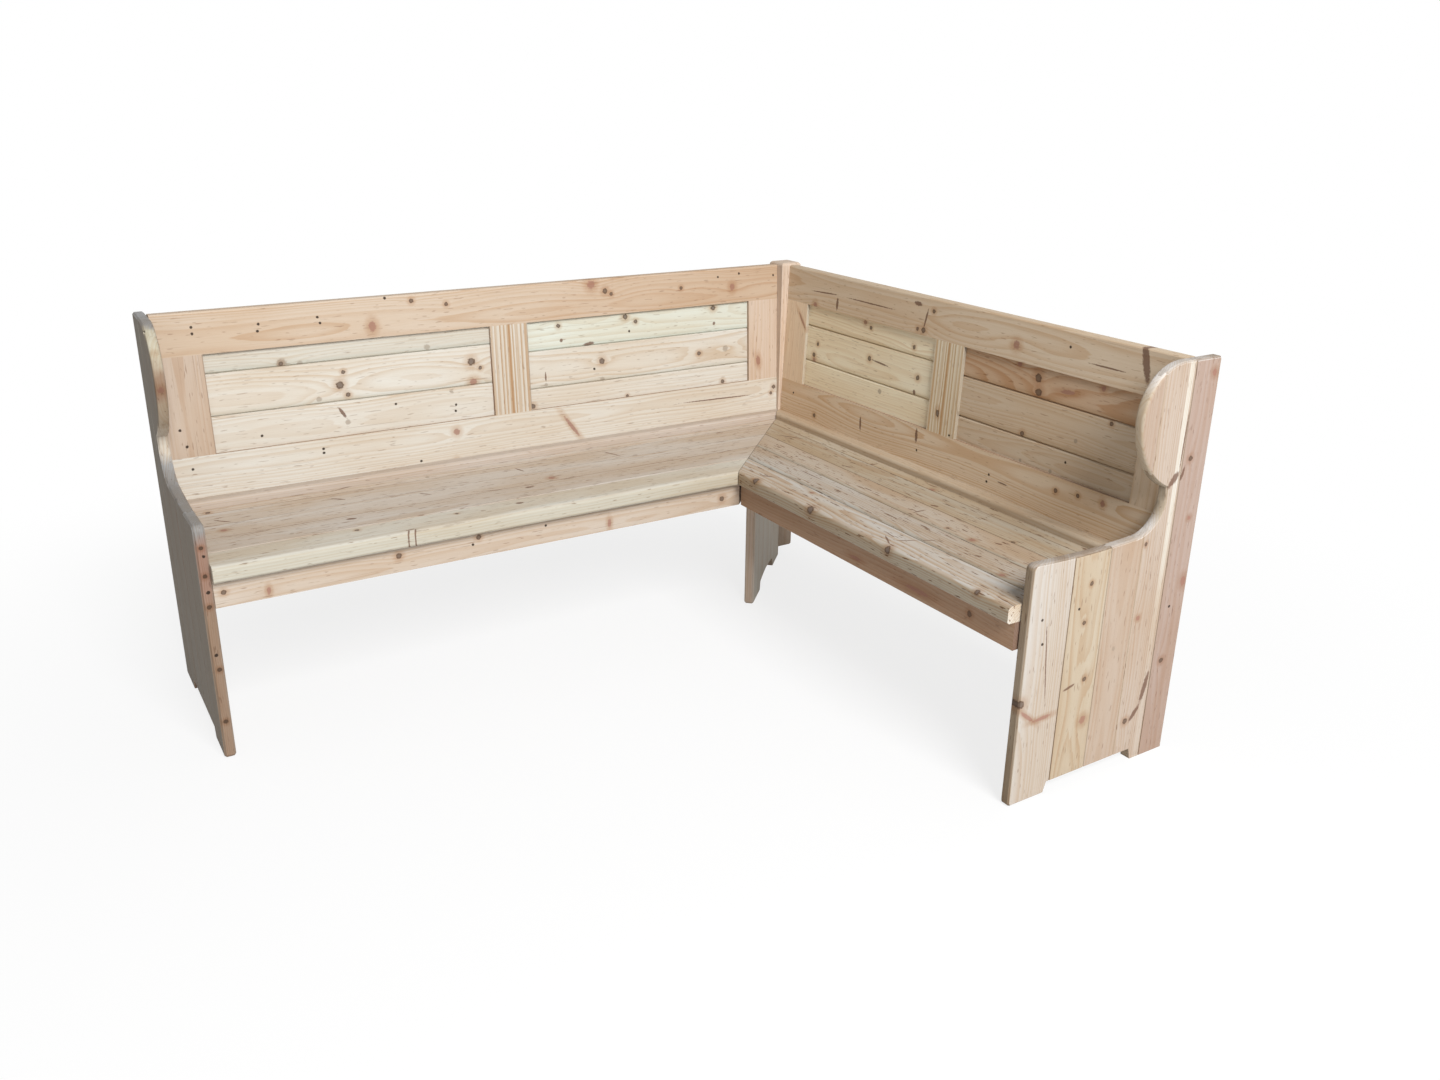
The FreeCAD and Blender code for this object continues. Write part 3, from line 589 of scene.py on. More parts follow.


def season(tree, rings, colour, strength, dirty):
    """Rings, blotches, fibre, flecks and checks over the early wood."""
    ring = rings["Ring"]
    colour = tree.stain(tree.math("MULTIPLY", ring, min(strength, 1.0)), colour, LATE)
    if strength > 1.0:
        colour = tree.stain(tree.math("MULTIPLY", ring, strength - 1.0), colour, LATE)
    blotch = tree.band(rings["Blotch"], 0.36, 0.66)
    colour = tree.stain(tree.math("MULTIPLY", blotch, dirty), colour, WARM)
    fibre = tree.band(rings["Fibre"], 0.35, 0.75)
    colour = tree.stain(tree.math("MULTIPLY", fibre, FIBRE_SHARE), colour, DARK_FIBRE)
    colour = tree.stain(tree.math("MULTIPLY", rings["Fleck"], dirty), colour, FLECK)
    return tree.stain(tree.math("MULTIPLY", rings["Check"], CHECK_SHARE), colour, FLECK)


def pit(tree, colour, shifted, strength):
    """Short dark pits of a worn seat."""
    pits = tree.noise(tree.scale(shifted, PIT_GRAIN), 1.0, 2.0)
    pits = tree.math("MULTIPLY", tree.band(pits, 0.645, 0.70), strength)
    return tree.stain(pits, colour, PIT)


def soil_and_shade(tree, colour, across, below, joints, sunk, grime_and_shade, blotch):
    """Dirt beside the joints, and dirt with painted shade down in the grooves, in patches."""
    dirt_and_shade = 0.0
    for joint in joints:
        aside = tree.math("ABSOLUTE", tree.math("SUBTRACT", across, joint))
        dirt_and_shade = tree.math("MAXIMUM", dirt_and_shade, tree.band(aside, *JOINT_DIRT, 1.0, 0.0))
    if sunk:
        dirt_and_shade = tree.math("MAXIMUM", dirt_and_shade, tree.band(below, sunk * GROOVE_START, sunk))
    patchy = tree.band(blotch, 0.3, 0.6, 0.6, 1.0)
    amount = tree.math("MULTIPLY", tree.math("MULTIPLY", dirt_and_shade, grime_and_shade), patchy)
    return tree.stain(amount, colour, GRIME_AND_SHADE)


print("helpers: season, pit, soil")

# %% [markdown]
# ## One board's material
# Each board gets its own material, because each has its own list of marks.  The function reads
# Object coordinates, turns them into along, across and out, and lays the colours in order: early
# wood, other tones, rings and wear, marks, and last the dirt.

# %% Pine
BUMP_STRENGTH = 0.3
BUMP_HEIGHT = 0.0006
ROUGHNESS = 0.65
SHEEN = 0.2


def pine(node, facing, tone, figure="plain", marks=(), shade=1.0, sunk=0.0, joints=(),
         grime_and_shade=0.6, wear=None, dirty=0.45, rim=(), cap=None, veil=None, turning=None,
         pitted=0.0, inside=None, butt=None):
    """Material of one board.

    marks come from knot, nail, spot and streak.  sunk is the depth below the show face at which
    a groove is fully darkened with dirt and painted shade, and joints are places across with a
    line of dirt; grime_and_shade is how dark both are.  dirty is the strength of blotches and
    flecks, and pitted that of the pits of a worn seat.  wear is (low, high, tone, foot): a band of
    sapwood between low and high across the board, which fades below the place foot along it.
    turning is (from, to, tone): the board turns to that tone along it.  rim lists (place along,
    tone) for the sawn edges, some of them painted light and shade, cap is a tone painted on their
    upper side as light and shade, inside the tone of the face that looks away from the show face,
    butt the tone of the end grain, painted shadow on the short apron, and veil the place
    across of a joint with a painted soft shade above.
    """
    along, across, out = FACINGS[facing]
    material = bpy.data.materials.new("pine_" + node)
    material.use_nodes = True
    material.node_tree.nodes.clear()
    tree = Tree(material.node_tree)
    place = tree.node("ShaderNodeTexCoord").outputs["Object"]
    l = tree.dot(place, along)
    a = tree.dot(place, across)
    n = tree.dot(place, out)
    point = tree.vector(l, a, n)
    placed, bulge = place_marks(tree, point, marks)
    rings, shifted = grow(tree, node, figure, point, across, out, bulge)
    blotch = rings["Blotch"]
    early = tint(tone, shade)
    colour = early
    if wear:
        colour = sapwood(tree, colour, l, a, blotch, wear, shade)
    if turning:
        colour = slow_turn(tree, colour, l, blotch, turning, shade)
    if inside:
        colour = inner_face(tree, colour, out, inside)
    if rim:
        colour = sawn_rim(tree, colour, point, out, rim, cap, shade)
    if butt:
        colour = end_grain(tree, colour, along, butt)
    if veil:
        colour = paint_shade_above_joint(tree, colour, a, veil, facing)
    colour = season(tree, rings, colour, FIGURES[figure][0], dirty)
    if pitted:
        colour = pit(tree, colour, shifted, pitted)
    height = tree.math("MULTIPLY", rings["Ring"], 0.5)
    height = tree.math("MULTIPLY_ADD", rings["Fibre"], 0.6, height)
    for group, kind in placed:
        colour, height = lay_mark(tree, group, kind, colour, height, early)
    if joints or sunk:
        below = tree.math("SUBTRACT", reach(node, out)[1], n)
        colour = soil_and_shade(tree, colour, a, below, joints, sunk, grime_and_shade, blotch)
    bump = tree.node("ShaderNodeBump", {"Strength": BUMP_STRENGTH, "Distance": BUMP_HEIGHT,
                                        "Height": height})
    shader = tree.node("ShaderNodeBsdfPrincipled", {
        "Base Color": colour, "Roughness": ROUGHNESS, "Specular IOR Level": SHEEN,
        "Normal": bump.outputs[0]})
    tree.node("ShaderNodeOutputMaterial", {"Surface": shader.outputs[0]})
    return material


def dress(node, facing, tone, figure="plain", marks=(), **finish):
    """Give a node of the frame its own pine."""
    mesh = nodes[node].data
    mesh.materials.clear()
    mesh.materials.append(pine(node, facing, tone, figure, marks, **finish))


print("one material per board, named pine_ and the board")

# %% [markdown]
# ## The long back
# The frame is warmer than the pale boards it holds.  The old tongues and grooves of the boards
# have kept a thin grey line of dirt, with painted shade down in the vees; nail holes show that
# the rails had an earlier life.

# %% Long frame


def plain_rim(tone):
    """Rim of one tone from end to end."""
    return ((0.0, tone), (1.0, tone))


BROWN = plain_rim("hazel")              # flanks of the stiles beside the panels, painted brown as dirt and the shadow in the gap
dress("long_back_top_rail", "long_back", "peach", "plain", (
    nail(-0.805, 0.872), nail(-0.805, 0.857), nail(-0.660, 0.866), nail(-0.664, 0.850),
    nail(-0.525, 0.870), nail(-0.520, 0.856), streak(-0.396, 0.850, -0.397, 0.822, 14, "red"),
    knot(-0.295, 0.890, 10), knot(-0.207, 0.875, 9), nail(-0.360, 0.902),
    knot(0.197, 0.893, 20, "red"), knot(0.238, 0.873, 13), knot(0.256, 0.864, 9),
    knot(0.475, 0.863, 9), nail(0.597, 0.885), nail(0.668, 0.890),
    streak(0.645, 0.864, 0.645, 0.842, 13, "red"), nail(0.787, 0.877)),
    turning=(-0.3, 0.5, "caramel"))
# The rail's top edge is painted dark russet as shade.
dress("long_back_bottom_rail", "long_back", "cream", "plain", (
    nail(-0.545, 0.550), nail(-0.545, 0.540), knot(-0.205, 0.545, 15, "red"),
    nail(-0.305, 0.482), knot(-0.210, 0.467, 12, "red"), nail(-0.845, 0.545),
    streak(0.100, 0.545, 0.145, 0.482, 8, "red"), streak(0.470, 0.535, 0.710, 0.530, 3),
    knot(0.790, 0.545, 11), knot(0.780, 0.527, 9)), rim=BROWN, cap="russet")
dress("long_back_corner_stile", "long_upright", "rose", "quiet", (
    streak(0.645, 0.732, 0.615, 0.738, 11, "red"),), rim=BROWN)
dress("long_back_muntin", "long_upright", "cream", "striped", rim=BROWN, shade=0.96,
      joints=(0.0075,))
dress("long_back_end_stile", "long_upright", "rose", "quiet", (
    nail(0.640, -0.860), nail(0.600, -0.850)), shade=0.87, joints=(-0.7895,))
print("long frame dressed")

# %% [markdown]
# ### The boards of the long back
# Three boards lie in each panel.  The vees between them are in the imported model already; here
# they only get their dirt, with painted shade down in the vees and a painted soft shade above
# each joint.

# %% Long boards
BOARD_GROOVE = 0.0034                   # level below the face where a vee is fully darkened with dirt and painted shade
BOARD = {"sunk": BOARD_GROOVE, "grime_and_shade": 0.28}
dress("long_back_corner_board_1", "long_back", "chalk", "quiet", (
    knot(0.100, 0.790, 10), streak(0.103, 0.747, 0.110, 0.755, 7),
    streak(0.170, 0.731, 0.205, 0.735, 8), knot(0.301, 0.797, 13), knot(0.333, 0.781, 10),
    nail(0.312, 0.756), knot(0.585, 0.797, 13), streak(0.584, 0.748, 0.591, 0.757, 7)),
    veil=0.727, **BOARD)
dress("long_back_corner_board_2", "long_back", "cream", "plain", (
    knot(0.225, 0.682, 15), nail(0.201, 0.663), knot(0.536, 0.671, 11),
    streak(0.056, 0.670, 0.056, 0.645, 4), knot(0.056, 0.636, 9, "grey"),
    knot(0.225, 0.631, 13, "grey"), knot(0.625, 0.676, 16, "grey")), veil=0.626, **BOARD)
dress("long_back_corner_board_3", "long_back", "cream", "quiet", (
    knot(0.615, 0.580, 11), knot(0.300, 0.576, 8), knot(0.015, 0.582, 12)), **BOARD)
dress("long_back_end_board_1", "long_back", "oat", "quiet", (
    knot(-0.617, 0.767, 22, "grey"), knot(-0.619, 0.767, 9), knot(-0.575, 0.763, 12, "grey"),
    knot(-0.262, 0.770, 14, "grey")), veil=0.759, **BOARD)
dress("long_back_end_board_2", "long_back", "cream", "plain", (
    knot(-0.476, 0.731, 9), knot(-0.487, 0.700, 17), knot(-0.470, 0.674, 10),
    knot(-0.540, 0.671, 12, "grey"), knot(-0.149, 0.721, 18), knot(-0.126, 0.702, 9),
    streak(-0.157, 0.664, -0.137, 0.671, 14, "red")), veil=0.658, **BOARD)
dress("long_back_end_board_3", "long_back", "cream", "plain", (
    streak(-0.497, 0.646, -0.479, 0.616, 6), knot(-0.477, 0.606, 12, "grey"),
    nail(-0.354, 0.636), nail(-0.198, 0.614), nail(-0.200, 0.598), nail(-0.682, 0.600),
    streak(-0.214, 0.652, -0.201, 0.646, 5, "grey")), **BOARD)
print("long boards dressed")

# %% [markdown]
# ## The short back
# Its boards are the oldest: a pale green pair of boards by the corner, and a resinous amber one
# with a double knot at the other side.  The muntin is cut on the quarter, so it is striped.

# %% Short frame
SHADED = plain_rim("umber")             # flanks painted darker on this side, as shade
# Its rim is painted a darker tan, as shade on its top edge.
dress("short_back_top_rail", "short_back", "honey", "plain", (
    streak(0.535, 0.850, 0.415, 0.856, 3), streak(0.413, 0.850, 0.415, 0.812, 8),
    streak(0.370, 0.855, 0.170, 0.855, 3), streak(0.095, 0.885, 0.065, 0.885, 9),
    knot(0.020, 0.875, 10), streak(0.040, 0.880, 0.052, 0.828, 5), knot(0.052, 0.822, 14),
    knot(0.075, 0.822, 9), knot(0.515, 0.812, 15, "red"), nail(-0.430, 0.870),
    streak(-0.485, 0.846, -0.590, 0.846, 3), streak(-0.620, 0.930, -0.648, 0.828, 14),
    knot(-0.270, 0.845, 18, "red")), rim=plain_rim("tan"), shade=0.95)
# Its top edge is painted dark russet as shade, and its flanks darker umber.
dress("short_back_bottom_rail", "short_back", "honey", "lively", (
    nail(0.590, 0.540), knot(0.480, 0.497, 11), streak(0.270, 0.545, 0.266, 0.505, 6),
    streak(0.038, 0.568, 0.036, 0.530, 8), nail(0.030, 0.511), nail(-0.235, 0.520),
    nail(-0.230, 0.501), streak(-0.265, 0.511, -0.300, 0.510, 3), knot(-0.447, 0.542, 10),
    knot(-0.512, 0.549, 9), streak(-0.580, 0.560, -0.584, 0.544, 10, "red")),
    rim=SHADED, cap="russet", shade=1.06)
dress("short_back_corner_stile", "short_upright", "honey", "quiet", (
    streak(0.780, 0.590, 0.735, 0.552, 6, "red"),), shade=1.18, rim=SHADED)
dress("short_back_muntin", "short_upright", "butter", "striped", (
    streak(0.635, -0.031, 0.615, -0.034, 10, "knot"), nail(0.580, -0.083)), shade=0.98,
    rim=SHADED)
dress("short_back_end_stile", "short_upright", "honey", "quiet", rim=SHADED)
print("short frame dressed")

# %% [markdown]
# ### The boards of the short back
# The same joints as in the long back, but darker with dirt and painted shade, and with a brown
# painted shade above them.

# %% Short boards
OLD_BOARD = {"sunk": BOARD_GROOVE, "grime_and_shade": 0.65}
dress("short_back_corner_board_1", "short_back", "lemon", "plain", (
    knot(0.270, 0.789, 10), knot(0.295, 0.800, 12, "red"), knot(0.090, 0.770, 10)),
    veil=0.747, **OLD_BOARD)
dress("short_back_corner_board_2", "short_back", "lemon", "quiet", (
    knot(0.265, 0.706, 13), streak(0.255, 0.705, 0.182, 0.700, 4), knot(0.065, 0.695, 12),
    knot(0.500, 0.702, 10), knot(0.515, 0.668, 12), knot(0.512, 0.652, 13, "red"),
    streak(0.075, 0.662, 0.070, 0.648, 8)), shade=0.98, veil=0.646, **OLD_BOARD)
dress("short_back_corner_board_3", "short_back", "lemon", "quiet", (
    knot(0.210, 0.627, 13, "grey"),), **OLD_BOARD)
dress("short_back_end_board_1", "short_back", "amber", "lively", (
    knot(-0.342, 0.781, 18), streak(-0.347, 0.757, -0.349, 0.740, 16, "knot"),
    knot(-0.280, 0.801, 12, "red"), streak(-0.410, 0.765, -0.455, 0.770, 8, "red"),
    knot(-0.530, 0.797, 11, "red")), shade=1.06, veil=0.734, **OLD_BOARD)
dress("short_back_end_board_2", "short_back", "tan", "plain", (
    knot(-0.565, 0.727, 9), knot(-0.315, 0.642, 11), knot(-0.475, 0.665, 9, "grey")),
    veil=0.633, **OLD_BOARD)
dress("short_back_end_board_3", "short_back", "tan", "plain", (
    nail(-0.455, 0.610), knot(-0.320, 0.578, 8, "grey"), knot(-0.415, 0.578, 9, "grey")),
    **OLD_BOARD)
print("short boards dressed")

# %% [markdown]
# ## The seats
# Five boards each, the first with the rounded nosing.  They are the most worn: greyed, full of
# short dark pits, with dirt and painted shade in every joint.

# %% Long seat
# The front of the long nosing is painted a darker sage than its top, as shade.
NOSE = plain_rim("sage")
SEAT_GROOVE = 0.0024                    # the same for the joints of a seat
LONG_SEAT = {"sunk": SEAT_GROOVE, "grime_and_shade": 0.55, "dirty": 0.7, "pitted": 0.6,
             "joints": (0.339, 0.423, 0.507, 0.591)}
dress("long_seat_board_1", "long_seat", "oat", "quiet", (
    knot(-0.570, 0.320, 9), streak(-0.195, 0.311, -0.175, 0.306, 9), knot(-0.340, 0.312, 7),
    streak(-0.478, 0.247, -0.470, 0.262, 3), streak(-0.462, 0.247, -0.455, 0.262, 3),
    streak(-0.480, 0.262, -0.455, 0.264, 3)), rim=NOSE, **dict(LONG_SEAT, sunk=0.0, pitted=0.3))
dress("long_seat_board_2", "long_seat", "driftwood", "plain", (
    streak(-0.130, 0.405, -0.105, 0.404, 7), streak(-0.572, 0.401, -0.548, 0.396, 9),
    knot(-0.700, 0.370, 9, "grey")), shade=0.97, **LONG_SEAT)
dress("long_seat_board_3", "long_seat", "driftwood", "plain", (
    knot(-0.040, 0.445, 15, "red"), streak(-0.240, 0.435, -0.130, 0.410, 2.5),
    streak(-0.370, 0.495, -0.345, 0.470, 4), knot(-0.825, 0.465, 13, "red"),
    knot(-0.050, 0.425, 9, "grey")), **LONG_SEAT)
dress("long_seat_board_4", "long_seat", "driftwood", "quiet", (
    streak(-0.090, 0.565, -0.078, 0.525, 4), streak(0.175, 0.585, 0.200, 0.525, 4),
    streak(-0.565, 0.562, -0.535, 0.537, 5), streak(-0.835, 0.545, -0.800, 0.512, 4),
    knot(0.440, 0.560, 11, "grey")), **LONG_SEAT)
dress("long_seat_board_5", "long_seat", "driftwood", "plain", (
    knot(-0.310, 0.605, 10, "grey"), streak(-0.555, 0.612, -0.420, 0.650, 4),
    knot(-0.835, 0.602, 11), knot(0.150, 0.625, 10, "grey")), shade=1.10, **LONG_SEAT)
dress("long_seat_fillet", "long_seat", "shell", "quiet")
dress("long_apron", "long_front", "biscuit", "plain", (
    knot(-0.495, 0.394, 12), nail(-0.320, 0.387), knot(-0.305, 0.403, 11),
    streak(0.035, 0.385, 0.036, 0.362, 8, "red"), nail(-0.135, 0.400), knot(0.365, 0.381, 13),
    knot(-0.870, 0.388, 10), streak(-0.780, 0.382, -0.780, 0.362, 7, "red")))
print("long seat dressed")

# %% [markdown]
# ### The short seat
# It is dustier than the long one.  The knots on its rounded front are spots, with a place in the
# thickness: a mark that goes right through the board would run down the front as a stripe.

# %% Short seat
# The front of the short nosing is painted a darker peat than its top, as shade.
SHORT_NOSE = plain_rim("peat")
SHORT_SEAT = {"sunk": SEAT_GROOVE, "grime_and_shade": 0.65, "dirty": 1.0, "pitted": 1.0,
              "joints": (0.4895, 0.5735, 0.6575, 0.7415)}
dress("short_seat_board_1", "short_seat", "ash", "lively", (
    spot(0.175, 0.406, 0.452, 17, "knot"), streak(0.200, 0.435, 0.167, 0.458, 5),
    streak(-0.335, 0.437, -0.362, 0.488, 3), spot(-0.065, 0.404, 0.449, 20, "knot"),
    spot(-0.355, 0.404, 0.446, 17, "knot"), spot(-0.634, 0.406, 0.450, 13, "knot"),
    streak(-0.300, 0.440, -0.345, 0.415, 4), knot(0.020, 0.470, 9, "red")),
    rim=SHORT_NOSE, butt="cream", **dict(SHORT_SEAT, sunk=0.0))
# Boards 2 and 3 have a painted soft shade behind their front joint.
dress("short_seat_board_2", "short_seat", "dusty", "lively", (
    streak(-0.490, 0.532, -0.505, 0.540, 6), knot(-0.600, 0.505, 12, "red"),
    streak(0.185, 0.550, 0.090, 0.551, 3), streak(-0.365, 0.492, -0.380, 0.520, 3)),
    shade=0.97, veil=0.4895, **SHORT_SEAT)
dress("short_seat_board_3", "short_seat", "dun", "plain", (
    streak(-0.215, 0.592, -0.216, 0.635, 4), knot(-0.420, 0.592, 13, "red"),
    streak(-0.460, 0.622, -0.475, 0.630, 6), knot(-0.335, 0.595, 8),
    knot(-0.135, 0.632, 10, "grey")), shade=0.98, veil=0.5735, **SHORT_SEAT)
dress("short_seat_board_4", "short_seat", "umber", "plain", (
    streak(0.485, 0.682, 0.410, 0.728, 5), streak(0.165, 0.672, 0.130, 0.680, 4),
    streak(-0.195, 0.667, -0.215, 0.675, 7), knot(-0.475, 0.662, 9),
    knot(0.015, 0.680, 10, "grey")), **SHORT_SEAT)
dress("short_seat_board_5", "short_seat", "umber", "quiet", (
    streak(0.130, 0.722, 0.125, 0.765, 5), knot(-0.110, 0.745, 15, "red")), shade=1.10,
    **SHORT_SEAT)
dress("short_seat_fillet", "short_seat", "tan", "quiet", shade=0.84)
# Its sawn end is painted dark cocoa as shadow.
dress("short_apron", "short_front", "brick", "plain", (
    knot(-0.600, 0.385, 12), streak(-0.200, 0.375, -0.240, 0.376, 7, "red"),
    streak(-0.395, 0.375, -0.480, 0.376, 9, "red")), shade=0.84, butt="cocoa")
print("short seat dressed")

# %% [markdown]
# ## The ends
# Five planks stand side by side, each of another tree: on the right end they run from a pink
# one at the rear to a pale one at the front.  The sawn outline has a tone of its own, and where it
# looks up it is painted pale, as light.

# %% Right end
PLANK_GROOVE = 0.0016                   # the same for the vees between planks
# pearl is painted light on the tops of the outline.
PLANK = {"sunk": PLANK_GROOVE, "grime_and_shade": 0.45, "rim": plain_rim("sand"), "cap": "pearl",
         "joints": (0.6535,), "shade": 0.95, "dirty": 0.6}
DARK_JOINT = dict(PLANK, grime_and_shade=0.85, joints=(0.5495, 0.8355))
dress("right_end_plank_1", "right_end", "old_rose", "quiet", (
    knot(0.695, 0.860, 11), streak(0.650, 0.838, 0.682, 0.845, 6), nail(0.360, 0.865),
    streak(0.425, 0.897, 0.400, 0.900, 12, "red"), knot(0.230, 0.865, 12),
    streak(0.880, 0.892, 0.865, 0.899, 10, "red"), knot(0.560, 0.885, 9, "red")), **DARK_JOINT)
dress("right_end_plank_2", "right_end", "blush", "plain", (
    knot(0.525, 0.757, 8), knot(0.105, 0.772, 13), streak(0.100, 0.785, 0.135, 0.812, 10),
    streak(0.135, 0.812, 0.215, 0.829, 11), streak(0.640, 0.802, 0.672, 0.829, 13),
    streak(0.672, 0.829, 0.800, 0.833, 3), knot(0.355, 0.765, 10, "red")),
    wear=(0.815, 0.829, "cream", 0.40), **PLANK)
dress("right_end_plank_3", "right_end", "clay", "quiet", (
    knot(0.300, 0.700, 9, "grey"),), **PLANK)
dress("right_end_plank_4", "right_end", "sand", "plain", (
    knot(0.470, 0.605, 9), nail(0.420, 0.577), knot(0.385, 0.597, 9), knot(0.250, 0.620, 10),
    streak(0.238, 0.558, 0.246, 0.592, 5), knot(0.150, 0.630, 17, "red")), **DARK_JOINT)
dress("right_end_plank_5", "right_end", "linen", "plain", (
    nail(0.420, 0.472), nail(0.365, 0.480), streak(0.415, 0.486, 0.220, 0.508, 2.5),
    knot(0.240, 0.438, 16), streak(0.222, 0.440, 0.190, 0.480, 7, "red"),
    streak(0.190, 0.480, 0.192, 0.532, 7, "red")), **DARK_JOINT)
dress("right_end_wing_tip", "right_end", "flax", "quiet", rim=PLANK["rim"],
      cap="pearl")
print("right end dressed")

# %% [markdown]
# ### The left end
# Its outside is greyed wood painted dark as shade; its inside keeps a paler tone.  Its sawn
# outline changes from foot to top: reddish on the front edge, steel grey on the armrest, pale at
# the neck, then brown and pale again on the wing.  These bands are partly the wood's own tones and
# partly painted light and shade, as the curved outline turns up, forward and down.

# %% Left end
LEFT_RIM = ((0.0, "russet"), (0.34, "russet"), (0.40, "flesh"), (0.50, "flesh"), (0.525, "steel"),
            (0.575, "steel"), (0.60, "bone"), (0.67, "bone"), (0.69, "oak"), (0.73, "oak"),
            (0.75, "hazel"), (0.80, "hazel"), (0.84, "fog"), (0.885, "fog"), (0.90, "steel"))
BACK_LIT = {"sunk": PLANK_GROOVE, "grime_and_shade": 0.5, "rim": LEFT_RIM, "inside": "driftwood",
            "joints": (0.672, 0.584, 0.490, 0.386)}
FRONT = 0.270                           # front edge of the left end
MIDDLE = 0.902                          # middle of its thickness
SPOTS = (spot(0.495, FRONT, MIDDLE, 8, "knot"), spot(0.476, FRONT, MIDDLE - 0.003, 6),
         spot(0.432, FRONT, MIDDLE, 9, "knot"), spot(0.395, FRONT, MIDDLE - 0.002, 7),
         spot(0.362, FRONT, MIDDLE, 9, "knot"), spot(0.250, FRONT, MIDDLE, 7),
         spot(0.215, FRONT, MIDDLE - 0.003, 9, "knot"), spot(0.090, FRONT, MIDDLE, 9, "knot"))
for name in ("plank_1", "plank_2", "plank_3", "plank_4"):
    dress("left_end_" + name, "left_end", "slate", "plain", **BACK_LIT)
dress("left_end_plank_5", "left_end", "slate", "plain", SPOTS, **BACK_LIT)
dress("left_end_wing_tip", "left_end", "slate", "quiet", (
    spot(0.845, 0.552, MIDDLE, 9, "knot"), spot(0.770, 0.540, MIDDLE, 14, "red")), **BACK_LIT)
print("left end dressed")

# %% [markdown]
# ## Corner post, corner leg and the timber under the seats
# The leg stands on the diagonal under the mitre, in three planks.  What lies under the seats is
# plain pine without marks.

# %% Corner and underframe
dress("corner_post", "right_end", "rose", "quiet", shade=1.04)
# The leg's front edge is painted pale lime as light, where it stands in the shade under the seats.
LEG = {"sunk": PLANK_GROOVE, "dirty": 0.3, "rim": plain_rim("lime")}
LEG_FRONT = reach("corner_leg_plank_1", FACINGS["leg"][1])[0]
LEG_MIDDLE = sum(reach("corner_leg_plank_1", FACINGS["leg"][2])) / 2
dress("corner_leg_plank_1", "leg", "bone", "plain", (
    spot(0.110, LEG_FRONT, LEG_MIDDLE, 12, "knot"), spot(0.170, LEG_FRONT, LEG_MIDDLE, 8, "red"),
    spot(0.280, LEG_FRONT, LEG_MIDDLE, 10, "red")), **LEG)
dress("corner_leg_plank_2", "leg", "bone", "plain", **LEG)
dress("corner_leg_plank_3", "leg", "bone", "plain", **LEG)
for name, facing in (("long_rear_seat_rail", "long_front"), ("short_rear_seat_rail", "short_front"),
                     ("left_end_cleat", "short_seat"), ("right_end_cleat", "long_seat"),
                     ("long_corner_cleat", "long_seat"), ("short_corner_cleat", "short_seat"),
                     ("cross_bearers", "long_seat")):
    dress(name, facing, "tan", "plain")
print("corner and underframe dressed")

# %% [markdown]
# ## Screws
# The cleat screws are zinc plated steel; only their heads can be seen, from below.

# %% Screws


def zinc():
    """Dull zinc plate with a slight cloudiness."""
    material = bpy.data.materials.new("zinc_plate")
    material.use_nodes = True
    material.node_tree.nodes.clear()
    tree = Tree(material.node_tree)
    place = tree.node("ShaderNodeTexCoord").outputs["Object"]
    cloud = tree.band(tree.noise(place, 400.0, 3.0), 0.3, 0.7)
    colour = tree.mix(cloud, (0.62, 0.60, 0.55, 1.0), (0.48, 0.46, 0.42, 1.0))
    shader = tree.node("ShaderNodeBsdfPrincipled", {"Base Color": colour, "Roughness": 0.38,
                                                    "Metallic": 1.0})
    tree.node("ShaderNodeOutputMaterial", {"Surface": shader.outputs[0]})
    return material


nodes["cleat_screws"].data.materials.clear()
nodes["cleat_screws"].data.materials.append(zinc())
bare = [name for name, made in nodes.items() if not made.data.materials]
print("nodes without a material:", bare)

# %% [markdown]
# ## Worn arrises
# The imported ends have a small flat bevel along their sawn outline.  On the real bench years of
# hands and trousers have turned it into a round.  Each of these planks is copied, its loose
# triangles are merged into faces, and the two edges of every flat bevel are rounded over, so
# that the section turns in small steps instead of one.  The copies take the place of the packed
# pieces.  A flat bevel is told from a joint's narrow one by its width.

# %% Soften
BEVEL_WIDTH = 0.0035                    # narrower slanting faces belong to the joints
ROUND = 0.0026                          # length taken from each side of an edge
SAME_PLACE = 0.00001                    # corners closer than this are one
FLAT = math.radians(0.5)                # faces that differ by less are one face
ARRIS = math.radians(25.0)              # edges sharper than this are rounded
SLANT = (0.4, 0.9)                      # how squarely the bevel looks out, least and most


def face_width(face):
    """Rough width of a long face: its area over its longest edge."""
    return face.calc_area() / max(edge.calc_length() for edge in face.edges)


def soften(node, out):
    """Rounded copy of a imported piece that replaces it."""
    work = bmesh.new()
    work.from_mesh(nodes[node].data)
    bmesh.ops.remove_doubles(work, verts=work.verts, dist=SAME_PLACE)
    bmesh.ops.dissolve_limit(work, angle_limit=FLAT, verts=work.verts, edges=work.edges)
    work.normal_update()
    direction = Vector(out)
    slanting = set()
    for face in work.faces:
        squarely = abs(face.normal.dot(direction))
        if SLANT[0] < squarely < SLANT[1] and face_width(face) > BEVEL_WIDTH:
            slanting.add(face)
    chosen = [edge for edge in work.edges
              if len(edge.link_faces) == 2 and edge.calc_face_angle() > ARRIS
              and slanting.intersection(edge.link_faces)]
    bmesh.ops.bevel(work, geom=chosen, offset=ROUND, offset_type="OFFSET", segments=2,
                    profile=0.5, affect="EDGES", clamp_overlap=True)
    bmesh.ops.triangulate(work, faces=work.faces)
    mesh = bpy.data.meshes.new(node + "_worn")
    work.to_mesh(mesh)
    work.free()
    mesh.materials.append(nodes[node].data.materials[0])
    piece = bpy.data.objects.new(node + "_worn", mesh)
    bpy.context.scene.collection.objects.link(piece)
    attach(piece, "root")
    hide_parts(node)
    return len(chosen), len(mesh.polygons)


